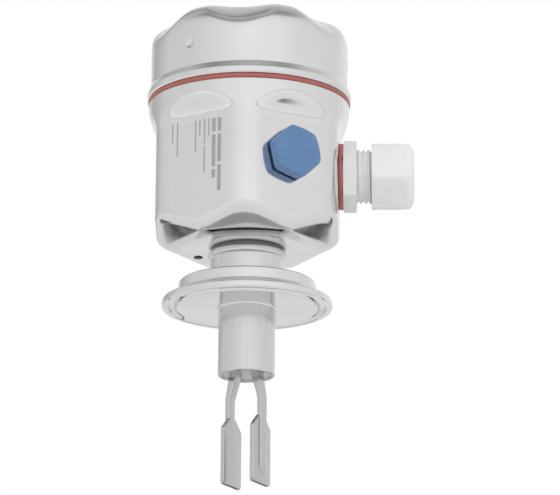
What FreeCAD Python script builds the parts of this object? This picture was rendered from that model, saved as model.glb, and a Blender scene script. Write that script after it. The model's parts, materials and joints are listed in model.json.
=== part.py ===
"""Vibrating fork level switch with a hygienic clamp connection, one solid per piece, in millimetres.

The frame has +Z up along the sensor's axis, its origin at the centre of the clamp's sealing face,
and +X along the cable gland. A deep-drawn steel housing stands on a neck above the clamp ferrule.
Below the ferrule a short tube ends in a diaphragm with a fork of two tines.
"""

import FreeCAD
import Part
import math
import os
from FreeCAD import Vector

# Clamp ferrule, the 2 inch hygienic size
CLAMP_R = 32.0
CLAMP_EDGE = 2.85
CLAMP_CONE = 20.0
HUB_R = 25.8
HUB_TOP = 10.0
GROOVE_R = 28.15
GROOVE_WIDTH = 3.3
GROOVE_DEPTH = 1.6
GROOVE_SIDE = 0.5
HUB_ROUND = 0.8

# Sensor tube, its spigot in the ferrule and the weld bead
TUBE_R = 10.65
TUBE_FIT_R = 10.25
TUBE_BORE_R = 8.65
TUBE_END = -25.9
BEAD = 0.7

# Fork: a diaphragm with two tines, each a stem that runs on as a rib down a flat blade
DIAPHRAGM_R = 9.6
DIAPHRAGM_FACE = -25.3
DIAPHRAGM_BACK = -23.0
FORK_TURN = -26.0
FORK_TIP = -67.6
BLADE_INSIDE = 5.35
BLADE_THICK = 1.6
BLADE_WIDTH = 13.4
BLADE_TOP = -46.0
SHOULDER_TOP = -41.7
STEM_WIDTH = 4.4
STEM_THICK = 2.5
STEM_ROOT_INSIDE = 2.4
STEM_ROOT_THICK = 3.8
STEM_BEND = -34.5
STEM_BOW = 9.0
STEM_ROUND = 0.7
RIB_END = -64.0
RIB_RUNOUT = 3.0
RIB_ROUND = 1.5
BLADE_CORNER = 1.3

# Drive stack behind the diaphragm
STACK_R = 7.2
PIEZO_COUNT = 4
PIEZO_THICK = 2.0
CONTACT_THICK = 0.4
INSULATOR_THICK = 2.0
BOLT_R = 2.0
BOLT_STANDOUT = 1.0
STACK_NUT_APOTHEM = 5.4
STACK_NUT_HEIGHT = 3.5
LEAD_R = 1.8
SENSOR_PLUG_APOTHEM = 4.2
SENSOR_PLUG_GAP = 0.6

# Neck between the ferrule and the housing
NECK_R = 13.85
NECK_BORE_R = 9.0
SHOULDER_R = 14.7
SHOULDER_LOW = 18.6
SHOULDER_HIGH = 21.7
SHOULDER_ROUND = 1.0
SPIGOT_R = 11.8
NECK_SEAL_R = 13.8
NECK_NUT_APOTHEM = 15.0
NECK_NUT_HEIGHT = 4.2

# Housing: a round drawn cup with six pressed flats and six sloping faces under its ridges
HOUSING_R = 38.0
HOUSING_BASE = 22.3
HOUSING_TOP = 78.8
HOUSING_WALL = 1.8
FLAT_APOTHEM = 34.3
RIDGE_RADIUS = 10.2
STEP_LOW = 68.0
STEP_RISE = 6.5
BASE_APOTHEM = 25.5
BASE_SLOPE = 32.5
BASE_CORNER = 5.0
BASE_FILLET = 6.0
VENT_R = 1.85
VENT_STANDOUT = 0.3
VENT_REACH = 20.5
VENT_TURN = 158.0

# Thread ring, seal and screw cover
THREAD_R = 34.6
THREAD_BORE_R = 32.6
THREAD_TOP = 89.0
THREAD_FOOT = 76.2
SEAL_R = 38.3
SEAL_TOP = 81.0
SEAL_BORE_R = 35.0
COVER_R = 37.3
COVER_RIM_R = 38.6
COVER_RIM_TOP = 83.4
COVER_WALL_LOW = 85.8
RIM_ROUND = 1.0
RIM_BLEND = 0.8
COVER_TOP = 111.4
COVER_WALL = 1.8
COVER_THREAD_R = 35.0
COVER_ROUND = 8.5
COVER_TURN = -4.6
SCOOP_START = 22.0
SCOOP_SLOPE = 35.2
SCOOP_R = 32.0
SCOOP_FILLET = 3.0
DIMPLE_R = 2.6
DIMPLE_DEPTH = 0.7
DIMPLE_Z = 94.7
DIMPLE_TURN = -124.5

# Cable gland and blanking plug, on axes square to two of the flats
ENTRY_Z = 51.6
PLUG_TURN = -60.0
SOCKET_DEPTH = 5.5
SOCKET_WALL = 2.6
GLAND_THREAD_R = 9.8
GLAND_HOLE_R = 10.0
GLAND_WASHER_R = 12.55
GLAND_WASHER_THICK = 1.7
GLAND_HEX_APOTHEM = 11.9
GLAND_HEX_TURN = 46.0
GLAND_HEX_THICK = 4.9
GLAND_SLEEVE_R = 10.0
GLAND_SLEEVE_LENGTH = 14.5
GLAND_SLEEVE_WALL = 1.2
GLAND_SEAL_DEPTH = 10.5
GLAND_BORE_R = 6.8
GLAND_NUT_APOTHEM = 12.4
GLAND_NUT_TURN = 16.0
GLAND_NUT_START = 46.7
GLAND_NUT_END = 62.7
GLAND_NUT_ROUND = 6.5
GLAND_NUT_CORNER = 1.6
GLAND_NUT_THREAD_R = 10.45
GLAND_MOUTH_R = 6.4
GLAND_MOUTH_BEVEL = 0.8
SLIP_GAP = 0.3
SLIP_THICK = 1.0
CABLE_R = 4.5
PLUG_THREAD_R = 7.7
PLUG_HOLE_R = 8.05
PLUG_SEAL_THICK = 1.1
PLUG_HEAD_APOTHEM = 8.9
PLUG_HEAD_TURN = 13.5
PLUG_HEAD_THICK = 5.0
PLUG_HEAD_CORNER = 1.6
PLUG_BEVEL = 0.7
PLUG_BEVEL_REACH = 1.1
PLUG_SHANK = 7.0
PLUG_SHANK_WALL = 2.2

# Electronic insert
CASE_R = 26.0
CASE_LOW = 31.0
CASE_HIGH = 39.4
CASE_WALL = 1.8
BOARD_LOW = 36.0
BOARD_THICK = 1.6
PLATE_THICK = 1.6
POST_REACH = 21.0
POST_R = 2.8
POST_THREAD = 4.0
BOARD_LEDGE = 1.4
INSERT_SCREW_R = 1.5
INSERT_HEAD_R = 2.8
INSERT_HEAD_HEIGHT = 1.8
SCREW_SLOT_HALF = 0.35
SCREW_SLOT_DEPTH = 0.7
TERMINAL_PITCH = 8.0
TERMINAL_COUNT = 3
TERMINAL_HEIGHT = 11.0
TERMINAL_DEPTH = 9.0
TERMINAL_FRONT = 5.0
TERMINAL_FLOOR = 1.5
TERMINAL_BACK_WALL = 2.0
WIRE_MOUTH_HALF = 2.6
WIRE_MOUTH_TOP = 7.0
SCREW_WELL_R = 2.4
SCREW_WELL_LOW = 6.0
SCREW_REACH = 3.6
CAGE_HALF = 2.2
CAGE_WALL = 0.6
CAGE_SET_BACK = 1.2
CAGE_DEPTH = 4.8
CAGE_HEIGHT = 4.8
CLAMP_SCREW_R = 1.4
CLAMP_HEAD_R = 2.0
CLAMP_SHANK = 1.0
CLAMP_HEAD = 2.2
SWITCH_X = (-9.0, -3.0)
SWITCH_SIZE = 2.0
SWITCH_TRAVEL = 2.0
SWITCH_GAP = 0.3
SWITCH_START = -12.7
SWITCH_LOW = 1.3
SWITCH_HIGH = 4.2
SWITCH_MARGIN = 3.0
SWITCH_FRAME_Y = (-15.0, -7.0)
SWITCH_FRAME_HEIGHT = 3.0
SWITCH_FLOOR = 1.0
LAMP_R = 1.5
LAMP_HEIGHT = 2.4
LAMP_ROUND = 1.3
LAMP_X = (5.0, 9.0, 13.0)
LAMP_Y = -8.0
EARTH_TURN = 120.0
EARTH_LOW = 44.0
EARTH_HIGH = 50.0
EARTH_DEPTH = 6.0
EARTH_HALF = 4.5
EARTH_REACH = 3.4
EARTH_PLATE_HALF = (2.6, 4.0)
EARTH_PLATE_THICK = 1.0
EARTH_SCREW_R = 1.6
EARTH_HEAD_R = 2.6
EARTH_HEAD_HEIGHT = 2.2

# Small roundings shared by many pieces, turned as bevels
SOFT = 0.6
FINE = 0.4
BEVEL_BELOW = 1.5

ORIGIN = Vector(0, 0, 0)
UP = Vector(0, 0, 1)
PLATE_TOP = CASE_HIGH + PLATE_THICK
INSIDE_FLOOR = HOUSING_BASE + HOUSING_WALL
INSIDE_FLAT = FLAT_APOTHEM - HOUSING_WALL
SIXTH = 60.0
HALF_SIXTH = math.radians(SIXTH / 2)
OUT_OF_REACH = 60.0
CLEAR = 5.0


def corner_arc(before, here, after, radius):
    """The first, middle and last point of the arc that rounds a corner."""
    back = (before - here).normalize()
    ahead = (after - here).normalize()
    half = back.getAngle(ahead) / 2
    reach = radius / math.tan(half)
    centre = here + (back + ahead).normalize() * (radius / math.sin(half))
    middle = centre + (here - centre).normalize() * radius
    return here + back * reach, middle, here + ahead * reach


def rounded_wire(points, bevel_below=0.0):
    """A closed wire through (point, radius) pairs, each corner rounded, or bevelled under a given radius."""
    corners = []
    for index, (here, radius) in enumerate(points):
        before = points[index - 1][0]
        after = points[(index + 1) % len(points)][0]
        if radius <= 0:
            corners.append((here,))
        elif radius < bevel_below:
            corners.append(corner_arc(before, here, after, radius)[::2])
        else:
            corners.append(corner_arc(before, here, after, radius))
    edges = []
    for index, corner in enumerate(corners):
        if len(corner) == 3:
            edges.append(Part.Arc(*corner).toShape())
        elif len(corner) == 2:
            edges.append(Part.makeLine(*corner))
        following = corners[(index + 1) % len(corners)]
        if (following[0] - corner[-1]).Length > 1e-6:
            edges.append(Part.makeLine(corner[-1], following[0]))
    return Part.Wire(edges)


def turned(profile):
    """A solid of revolution about Z from corners (radius, height) or (radius, height, rounding).

    Roundings too small to see from a step away are bevels.
    """
    points = [(Vector(corner[0], 0, corner[1]), corner[2] if len(corner) > 2 else 0) for corner in profile]
    return Part.Face(rounded_wire(points, BEVEL_BELOW)).revolve(ORIGIN, UP, 360)


def ring(outer, inner, low, high):
    return turned([(inner, low), (outer, low), (outer, high), (inner, high)])


def disc(radius, low, high, x=0.0, y=0.0):
    return Part.makeCylinder(radius, high - low, Vector(x, y, low))


def block(x_range, y_range, z_range):
    size = [high - low for low, high in (x_range, y_range, z_range)]
    return Part.makeBox(*size, Vector(x_range[0], y_range[0], z_range[0]))


def hexagon(apothem, corner, z, turn=0.0):
    """A rounded hexagon with a flat square to the direction of turn, in degrees from +X."""
    reach = apothem / math.cos(HALF_SIXTH)
    points = []
    for index in range(6):
        angle = math.radians(turn) + HALF_SIXTH * (2 * index + 1)
        points.append((Vector(reach * math.cos(angle), reach * math.sin(angle), z), corner))
    return rounded_wire(points)


def hex_prism(apothem, corner, low, high, turn=0.0):
    return Part.Face(hexagon(apothem, corner, low, turn)).extrude(UP * (high - low))


def rotated(shape, degrees):
    copy = shape.copy()
    copy.rotate(ORIGIN, UP, degrees)
    return copy


def to_entry(shape, turn=0.0):
    """Lays a piece built along Z onto the axis of an entry, so that its Z becomes the way out."""
    copy = shape.copy()
    copy.rotate(ORIGIN, Vector(0, 1, 0), 90)
    copy.translate(Vector(0, 0, ENTRY_Z))
    return rotated(copy, turn)


def clamp_ferrule():
    """Clamp rim with its seal groove, the sloping back for the clamp ring, the hub and the weld bead."""
    cone_top = CLAMP_EDGE + (CLAMP_R - HUB_R) * math.tan(math.radians(CLAMP_CONE))
    groove_in = GROOVE_R - GROOVE_WIDTH / 2
    groove_out = GROOVE_R + GROOVE_WIDTH / 2
    return turned([
        (TUBE_FIT_R, -BEAD), (TUBE_R, -BEAD), (TUBE_R + BEAD, 0), (groove_in, 0),
        (groove_in + GROOVE_SIDE, GROOVE_DEPTH, SOFT), (groove_out - GROOVE_SIDE, GROOVE_DEPTH, SOFT),
        (groove_out, 0), (CLAMP_R, 0, SOFT), (CLAMP_R, CLAMP_EDGE, SOFT), (HUB_R, cone_top, HUB_ROUND),
        (HUB_R, HUB_TOP, HUB_ROUND), (TUBE_FIT_R, HUB_TOP),
    ])


def sensor_tube():
    """Tube from the diaphragm up to the weld bead, with a thinner spigot through the ferrule."""
    return turned([
        (DIAPHRAGM_R, TUBE_END), (TUBE_R, TUBE_END, FINE), (TUBE_R, -BEAD), (TUBE_FIT_R, -BEAD),
        (TUBE_FIT_R, HUB_TOP), (TUBE_BORE_R, HUB_TOP), (TUBE_BORE_R, DIAPHRAGM_BACK),
        (DIAPHRAGM_R, DIAPHRAGM_BACK),
    ])


def fork_tine():
    """One tine on the +X side: a bowed stem that runs on as a rib down the outside of a flat blade."""
    outside = BLADE_INSIDE + BLADE_THICK
    rib = BLADE_INSIDE + STEM_THICK
    side = [
        (STEM_ROOT_INSIDE, DIAPHRAGM_FACE, 0), (BLADE_INSIDE, STEM_BEND, STEM_BOW),
        (BLADE_INSIDE, RIB_END, 0), (outside, RIB_END, 0),
        (rib, RIB_END + RIB_RUNOUT, RIB_ROUND), (rib, STEM_BEND, STEM_BOW),
        (STEM_ROOT_INSIDE + STEM_ROOT_THICK, DIAPHRAGM_FACE, 0),
    ]
    half_stem = STEM_WIDTH / 2
    half_blade = BLADE_WIDTH / 2
    stem = Part.Face(rounded_wire([(Vector(x, -half_stem, z), radius) for x, z, radius in side]))
    stem = stem.extrude(Vector(0, STEM_WIDTH, 0))
    boxes = [(edge, edge.BoundBox) for edge in stem.Edges]
    outer_edges = [edge for edge, box in boxes if box.YLength < 0.01 and box.XMax > outside + 0.2]
    stem = stem.makeFillet(STEM_ROUND, outer_edges)
    face = [
        (-half_stem, SHOULDER_TOP, 0), (half_stem, SHOULDER_TOP, 0), (half_blade, BLADE_TOP, SOFT),
        (half_blade, FORK_TIP, BLADE_CORNER), (-half_blade, FORK_TIP, BLADE_CORNER),
        (-half_blade, BLADE_TOP, SOFT),
    ]
    blade = Part.Face(rounded_wire([(Vector(BLADE_INSIDE, y, z), radius) for y, z, radius in face]))
    return stem.fuse(blade.extrude(Vector(BLADE_THICK, 0, 0)))


def vibrating_fork():
    tine = fork_tine()
    diaphragm = disc(DIAPHRAGM_R, DIAPHRAGM_FACE, DIAPHRAGM_BACK)
    fork = diaphragm.fuse([tine, rotated(tine, 180)]).removeSplitter()
    return rotated(fork, FORK_TURN)


def stack_levels():
    """Heights of the drive stack from the diaphragm up: insulators outside, discs and contacts between."""
    low = DIAPHRAGM_BACK + INSULATOR_THICK
    piezo_lows = [low + index * (PIEZO_THICK + CONTACT_THICK) for index in range(PIEZO_COUNT)]
    contact_lows = [z + PIEZO_THICK for z in piezo_lows]
    top = contact_lows[-1] + CONTACT_THICK
    return piezo_lows, contact_lows, top


def piezo_discs():
    return Part.makeCompound([ring(STACK_R, BOLT_R, z, z + PIEZO_THICK) for z in stack_levels()[0]])


def contact_discs():
    return Part.makeCompound([ring(STACK_R, BOLT_R, z, z + CONTACT_THICK) for z in stack_levels()[1]])


def stack_insulators():
    top = stack_levels()[2]
    lower = ring(STACK_R, BOLT_R, DIAPHRAGM_BACK, DIAPHRAGM_BACK + INSULATOR_THICK)
    return Part.makeCompound([lower, ring(STACK_R, BOLT_R, top, top + INSULATOR_THICK)])


def stack_nut():
    low = stack_levels()[2] + INSULATOR_THICK
    high = low + STACK_NUT_HEIGHT
    return hex_prism(STACK_NUT_APOTHEM, SOFT, low, high).cut(disc(BOLT_R, low, high))


def bolt_top():
    return stack_levels()[2] + INSULATOR_THICK + STACK_NUT_HEIGHT + BOLT_STANDOUT


def tension_bolt():
    top = bolt_top()
    return turned([(0, DIAPHRAGM_BACK), (BOLT_R, DIAPHRAGM_BACK), (BOLT_R, top, FINE), (0, top)])


def sensor_plug_low():
    return INSIDE_FLOOR + NECK_NUT_HEIGHT + SENSOR_PLUG_GAP


def sensor_lead():
    return disc(LEAD_R, bolt_top(), sensor_plug_low())


def sensor_plug():
    return hex_prism(SENSOR_PLUG_APOTHEM, SOFT, sensor_plug_low(), CASE_LOW)


def neck_adapter():
    """Neck with a rounded shoulder under the housing and a threaded spigot through the housing's floor."""
    spigot_top = INSIDE_FLOOR + NECK_NUT_HEIGHT
    return turned([
        (NECK_BORE_R, HUB_TOP), (NECK_R, HUB_TOP), (NECK_R, SHOULDER_LOW, SOFT),
        (SHOULDER_R, SHOULDER_LOW + SHOULDER_R - NECK_R, SHOULDER_ROUND),
        (SHOULDER_R, SHOULDER_HIGH, SHOULDER_ROUND), (SPIGOT_R, SHOULDER_HIGH), (SPIGOT_R, spigot_top),
        (NECK_BORE_R, spigot_top),
    ])


def neck_seal():
    return ring(NECK_SEAL_R, SPIGOT_R, SHOULDER_HIGH, HOUSING_BASE)


def neck_nut():
    high = INSIDE_FLOOR + NECK_NUT_HEIGHT
    return hex_prism(NECK_NUT_APOTHEM, SOFT, INSIDE_FLOOR, high).cut(disc(SPIGOT_R, INSIDE_FLOOR, high))


def pressed_flats(apothem, corner, base, top):
    """Six tools that press the flats: what lies outside the rounded hexagon and under a sloping step."""
    low = base - CLEAR
    high = top + CLEAR
    far = OUT_OF_REACH * 1.5
    near = apothem / 2
    side = far * math.tan(HALF_SIXTH)
    round_bar = Part.makeCylinder(OUT_OF_REACH, high - low, Vector(0, 0, low))
    around = round_bar.cut(hex_prism(apothem, corner, low - CLEAR, high + CLEAR))
    sector = [Vector(0, 0, low), Vector(far, -side, low), Vector(far, side, low), Vector(0, 0, low)]
    sector = Part.Face(Part.makePolygon(sector)).extrude(UP * (far + high))
    slope = STEP_RISE / (HOUSING_R - FLAT_APOTHEM)
    far_z = STEP_LOW + (far - apothem) * slope
    near_z = STEP_LOW - (apothem - near) * slope
    step = [(near, low), (far, low), (far, far_z), (near, near_z)]
    step = Part.makePolygon([Vector(x, -side, z) for x, z in step + step[:1]])
    under_step = Part.Face(step).extrude(Vector(0, 2 * side, 0))
    tool = around.common(sector).common(under_step)
    return [rotated(tool, SIXTH * index) for index in range(6)]


def housing_form(inset):
    """The drawn cup as a full solid, set in from the outside by the inset."""
    base = HOUSING_BASE + inset
    top = HOUSING_TOP + inset
    cup = Part.makeCylinder(HOUSING_R - inset, top - base, Vector(0, 0, base))
    cup = cup.cut(pressed_flats(FLAT_APOTHEM - inset, RIDGE_RADIUS - inset, base, top))
    slope = math.radians(BASE_SLOPE)
    apothem = BASE_APOTHEM - inset * math.tan((math.pi / 2 - slope) / 2)
    reach = OUT_OF_REACH - apothem
    spread = [hexagon(apothem, BASE_CORNER, base, SIXTH / 2)]
    spread.append(hexagon(OUT_OF_REACH, BASE_CORNER, base + reach * math.tan(slope), SIXTH / 2))
    sloping = Part.makeLoft(spread, True, True)
    above = Part.makeCylinder(2 * OUT_OF_REACH, top, Vector(0, 0, base + reach * math.tan(slope) - 0.1))
    return cup.common(sloping.fuse(above)).removeSplitter()


def entry_hole(radius, turn):
    low = INSIDE_FLAT - HOUSING_WALL / 2
    return to_entry(disc(radius, low, low + 2 * HOUSING_WALL), turn)


def vent_place():
    angle = math.radians(VENT_TURN)
    return VENT_REACH * math.cos(angle), VENT_REACH * math.sin(angle)


def housing_body():
    """The drawn cup: soft lower edges, open top, and holes for the neck, the two entries and the vent."""
    outside = housing_form(0.0)
    soft = [edge for edge in outside.Edges if edge.BoundBox.ZMax < HOUSING_BASE + 13.0]
    outside = outside.makeFillet(BASE_FILLET, soft)
    holes = [
        housing_form(HOUSING_WALL),
        disc(SPIGOT_R, HOUSING_BASE - 1.0, INSIDE_FLOOR + 1.0),
        disc(VENT_R, HOUSING_BASE - 1.0, INSIDE_FLOOR + 1.0, *vent_place()),
        entry_hole(GLAND_HOLE_R, 0.0),
        entry_hole(PLUG_HOLE_R, PLUG_TURN),
    ]
    return outside.cut(holes)


def vent_filter():
    x, y = vent_place()
    low = HOUSING_BASE - VENT_STANDOUT
    high = INSIDE_FLOOR + 2 * VENT_STANDOUT
    vent = turned([(0, low), (VENT_R, low, VENT_STANDOUT), (VENT_R, high), (0, high)])
    vent.translate(Vector(x, y, 0))
    return vent


def thread_ring():
    """Ring in the housing's mouth with the thread for the cover."""
    foot_r = HOUSING_R - HOUSING_WALL
    return turned([
        (THREAD_BORE_R, THREAD_FOOT), (foot_r, THREAD_FOOT), (foot_r, HOUSING_TOP), (THREAD_R, HOUSING_TOP),
        (THREAD_R, THREAD_TOP, SOFT), (THREAD_BORE_R, THREAD_TOP),
    ])


def cover_seal():
    return turned([
        (SEAL_BORE_R, HOUSING_TOP), (SEAL_R, HOUSING_TOP, SOFT), (SEAL_R, SEAL_TOP, SOFT),
        (SEAL_BORE_R, SEAL_TOP),
    ])


def scoops(inset):
    """Six round-bottomed tools that cut the sloping grip faces into the shoulder of the cover."""
    slope = math.radians(SCOOP_SLOPE)
    along = Vector(math.cos(slope), 0, -math.sin(slope))
    lift = Vector(math.sin(slope), 0, math.cos(slope))
    start = Vector(SCOOP_START, 0, COVER_TOP) - lift * inset - along * OUT_OF_REACH / 2
    tool = Part.makeCylinder(SCOOP_R + inset, 2 * OUT_OF_REACH, start + lift * (SCOOP_R + inset), along)
    return [rotated(tool, SIXTH * (index + 0.5) + COVER_TURN) for index in range(6)]


def cover_outside():
    """The drawn cap above its rim as a full solid: round wall, large top rounding, six soft-edged scoops."""
    low = COVER_RIM_TOP
    cap = turned([(0, low), (COVER_R, low), (COVER_R, COVER_TOP, COVER_ROUND), (0, COVER_TOP)])
    cap = cap.cut(scoops(0.0))
    boxes = [(edge, edge.BoundBox) for edge in cap.Edges]
    scoop_edges = [edge for edge, box in boxes if box.ZMin > COVER_WALL_LOW and box.XLength < COVER_R]
    return cap.makeFillet(SCOOP_FILLET, scoop_edges)


def cover_hollow():
    """The inside of the cover, with a straight cone under the top rounding."""
    top = COVER_TOP - COVER_WALL
    inner_round = COVER_ROUND - COVER_WALL
    centre_r = COVER_R - COVER_ROUND
    cone_r = centre_r + inner_round * (math.sqrt(2) - 1)
    cone_low = top - (COVER_THREAD_R - cone_r)
    low = SEAL_TOP - CLEAR
    hollow = turned([(0, low), (COVER_THREAD_R, low), (COVER_THREAD_R, cone_low), (cone_r, top), (0, top)])
    return hollow.cut(scoops(COVER_WALL))


def cover():
    """Drawn screw cover: rolled rim, round wall, six sloping grip faces round a flat top, three dimples."""
    blend_top = COVER_WALL_LOW + RIM_BLEND
    rim = turned([
        (0, SEAL_TOP), (COVER_RIM_R, SEAL_TOP, SOFT), (COVER_RIM_R, COVER_RIM_TOP, RIM_ROUND),
        (COVER_R, COVER_WALL_LOW, RIM_BLEND), (COVER_R, blend_top), (0, blend_top),
    ])
    dimples = []
    for index in range(3):
        ball = Part.makeSphere(DIMPLE_R, Vector(COVER_R + DIMPLE_R - DIMPLE_DEPTH, 0, DIMPLE_Z))
        dimples.append(rotated(ball, DIMPLE_TURN + 120.0 * index))
    return cover_outside().fuse(rim).removeSplitter().cut([cover_hollow(), *dimples])


def entry_socket(hole_r, turn):
    """Threaded bush welded inside a flat of the housing."""
    return to_entry(ring(hole_r + SOCKET_WALL, hole_r, INSIDE_FLAT - SOCKET_DEPTH, INSIDE_FLAT), turn)


def gland_washer():
    return to_entry(ring(GLAND_WASHER_R, GLAND_HOLE_R, FLAT_APOTHEM, FLAT_APOTHEM + GLAND_WASHER_THICK))


def gland_sleeve_end():
    return FLAT_APOTHEM + GLAND_WASHER_THICK + GLAND_HEX_THICK + GLAND_SLEEVE_LENGTH


def gland_body():
    """Gland body: thread into the housing, hexagon, and the sleeve that the cap nut screws onto."""
    hex_low = FLAT_APOTHEM + GLAND_WASHER_THICK
    hex_high = hex_low + GLAND_HEX_THICK
    start = INSIDE_FLAT - SOCKET_DEPTH
    end = gland_sleeve_end()
    seat_r = GLAND_SLEEVE_R - GLAND_SLEEVE_WALL
    seat = end - GLAND_SEAL_DEPTH
    middle = (hex_low + hex_high) / 2
    body = turned([
        (GLAND_BORE_R, start), (GLAND_THREAD_R, start, SOFT), (GLAND_THREAD_R, middle),
        (GLAND_SLEEVE_R, middle), (GLAND_SLEEVE_R, end, SOFT), (seat_r, end), (seat_r, seat),
        (GLAND_BORE_R, seat),
    ])
    hexagonal = hex_prism(GLAND_HEX_APOTHEM, FINE, hex_low, hex_high, GLAND_HEX_TURN)
    hexagonal = hexagonal.cut(disc(GLAND_BORE_R, hex_low, hex_high))
    return to_entry(body.fuse(hexagonal).removeSplitter())


def gland_seal():
    """Rubber sleeve that grips the cable, inside the gland body's outer end."""
    end = gland_sleeve_end()
    start = end - GLAND_SEAL_DEPTH
    seat_r = GLAND_SLEEVE_R - GLAND_SLEEVE_WALL
    return to_entry(turned([(CABLE_R, start), (seat_r, start), (seat_r, end, FINE), (CABLE_R, end)]))


def gland_slip_ring():
    low = gland_sleeve_end() + SLIP_GAP
    return to_entry(ring(GLAND_NUT_THREAD_R - SLIP_GAP, GLAND_MOUTH_R, low, low + SLIP_THICK))


def gland_nut():
    """Cap nut: a hexagon with a rounded outer end and a mouth for the cable."""
    inner_end = gland_sleeve_end() + SLIP_GAP + SLIP_THICK
    across = GLAND_NUT_APOTHEM / math.cos(HALF_SIXTH)
    rounded = turned([
        (0, GLAND_NUT_START), (across, GLAND_NUT_START), (across, GLAND_NUT_END, GLAND_NUT_ROUND),
        (0, GLAND_NUT_END),
    ])
    nut = hex_prism(GLAND_NUT_APOTHEM, GLAND_NUT_CORNER, GLAND_NUT_START, GLAND_NUT_END, GLAND_NUT_TURN)
    hollow = turned([
        (0, GLAND_NUT_START), (GLAND_NUT_THREAD_R, GLAND_NUT_START), (GLAND_NUT_THREAD_R, inner_end),
        (GLAND_MOUTH_R, inner_end), (GLAND_MOUTH_R, GLAND_NUT_END - GLAND_MOUTH_BEVEL),
        (GLAND_MOUTH_R + GLAND_MOUTH_BEVEL, GLAND_NUT_END), (0, GLAND_NUT_END),
    ])
    return to_entry(nut.common(rounded).cut(hollow))


def plug_seal():
    seal = ring(PLUG_HEAD_APOTHEM - FINE, PLUG_HOLE_R, FLAT_APOTHEM, FLAT_APOTHEM + PLUG_SEAL_THICK)
    return to_entry(seal, PLUG_TURN)


def blind_plug():
    """Blanking plug: hexagon head with a chamfered front, threaded shank, hollow from behind."""
    low = FLAT_APOTHEM + PLUG_SEAL_THICK
    high = low + PLUG_HEAD_THICK
    across = PLUG_HEAD_APOTHEM / math.cos(HALF_SIXTH)
    front = turned([
        (0, low), (across, low), (across, high - PLUG_BEVEL), (across - PLUG_BEVEL_REACH, high), (0, high),
    ])
    head = hex_prism(PLUG_HEAD_APOTHEM, PLUG_HEAD_CORNER, low, high, SIXTH / 2 + PLUG_HEAD_TURN)
    head = head.common(front)
    shank = disc(PLUG_THREAD_R, FLAT_APOTHEM - PLUG_SHANK, low)
    hollow = disc(PLUG_THREAD_R - PLUG_SHANK_WALL, FLAT_APOTHEM - PLUG_SHANK, low)
    return to_entry(head.fuse(shank).removeSplitter().cut(hollow), PLUG_TURN)


def post_places():
    return (POST_REACH, -POST_REACH)


def insert_posts():
    posts = []
    for x in post_places():
        hole = disc(INSERT_SCREW_R, CASE_LOW - POST_THREAD, CASE_LOW, x)
        posts.append(disc(POST_R, INSIDE_FLOOR, CASE_LOW, x).cut(hole))
    return Part.makeCompound(posts)


def screw_holes(low, high):
    return [disc(INSERT_SCREW_R, low, high, x) for x in post_places()]


def insert_case():
    """Cup of the electronic insert, with a ledge for the board."""
    inner = CASE_R - CASE_WALL
    ledge = inner - BOARD_LEDGE
    floor = CASE_LOW + CASE_WALL
    case = turned([
        (0, CASE_LOW), (CASE_R, CASE_LOW, SOFT), (CASE_R, CASE_HIGH), (inner, CASE_HIGH), (inner, BOARD_LOW),
        (ledge, BOARD_LOW), (ledge, floor), (0, floor),
    ])
    return case.cut(screw_holes(CASE_LOW, CASE_HIGH))


def circuit_board():
    board = disc(CASE_R - CASE_WALL, BOARD_LOW, BOARD_LOW + BOARD_THICK)
    return board.cut(screw_holes(BOARD_LOW, BOARD_LOW + BOARD_THICK))


def insert_plate():
    plate = turned([(0, CASE_HIGH), (CASE_R, CASE_HIGH), (CASE_R, PLATE_TOP, SOFT), (0, PLATE_TOP)])
    return plate.cut(screw_holes(CASE_HIGH, PLATE_TOP))


def slotted_screw(shank_r, head_r, low, neck, high, x, y):
    """A screw along Z: shank from low to neck, slotted head from neck to high."""
    profile = [(0, low), (shank_r, low), (shank_r, neck), (head_r, neck), (head_r, high, FINE), (0, high)]
    slot = block((-head_r, head_r), (-SCREW_SLOT_HALF, SCREW_SLOT_HALF), (high - SCREW_SLOT_DEPTH, high))
    screw = turned(profile).cut(slot)
    screw.translate(Vector(x, y, 0))
    return screw


def insert_screws():
    low = CASE_LOW - POST_THREAD
    high = PLATE_TOP + INSERT_HEAD_HEIGHT
    screws = [slotted_screw(INSERT_SCREW_R, INSERT_HEAD_R, low, PLATE_TOP, high, x, 0) for x in post_places()]
    return Part.makeCompound(screws)


def terminal_centres():
    middle = (TERMINAL_COUNT - 1) / 2
    return [(index - middle) * TERMINAL_PITCH for index in range(TERMINAL_COUNT)]


def terminal_block():
    """Terminal block with a wire mouth and a screw well for each core."""
    half = TERMINAL_PITCH * TERMINAL_COUNT / 2 + SOFT
    back = TERMINAL_FRONT + TERMINAL_DEPTH
    top = PLATE_TOP + TERMINAL_HEIGHT
    body = block((-half, half), (TERMINAL_FRONT, back), (PLATE_TOP, top))
    holes = []
    for x in terminal_centres():
        mouth_x = (x - WIRE_MOUTH_HALF, x + WIRE_MOUTH_HALF)
        mouth_y = (TERMINAL_FRONT, back - TERMINAL_BACK_WALL)
        holes.append(block(mouth_x, mouth_y, (PLATE_TOP + TERMINAL_FLOOR, PLATE_TOP + WIRE_MOUTH_TOP)))
        holes.append(disc(SCREW_WELL_R, PLATE_TOP + SCREW_WELL_LOW, top, x, TERMINAL_FRONT + SCREW_REACH))
    return body.cut(holes)


def terminal_clamps():
    front = TERMINAL_FRONT + CAGE_SET_BACK
    low = PLATE_TOP + TERMINAL_FLOOR
    inner = CAGE_HALF - CAGE_WALL
    clamps = []
    for x in terminal_centres():
        cage = block((x - CAGE_HALF, x + CAGE_HALF), (front, front + CAGE_DEPTH), (low, low + CAGE_HEIGHT))
        z_range = (low + CAGE_WALL, low + CAGE_HEIGHT - CAGE_WALL)
        clamps.append(cage.cut(block((x - inner, x + inner), (front, front + CAGE_DEPTH), z_range)))
    return Part.makeCompound(clamps)


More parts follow.
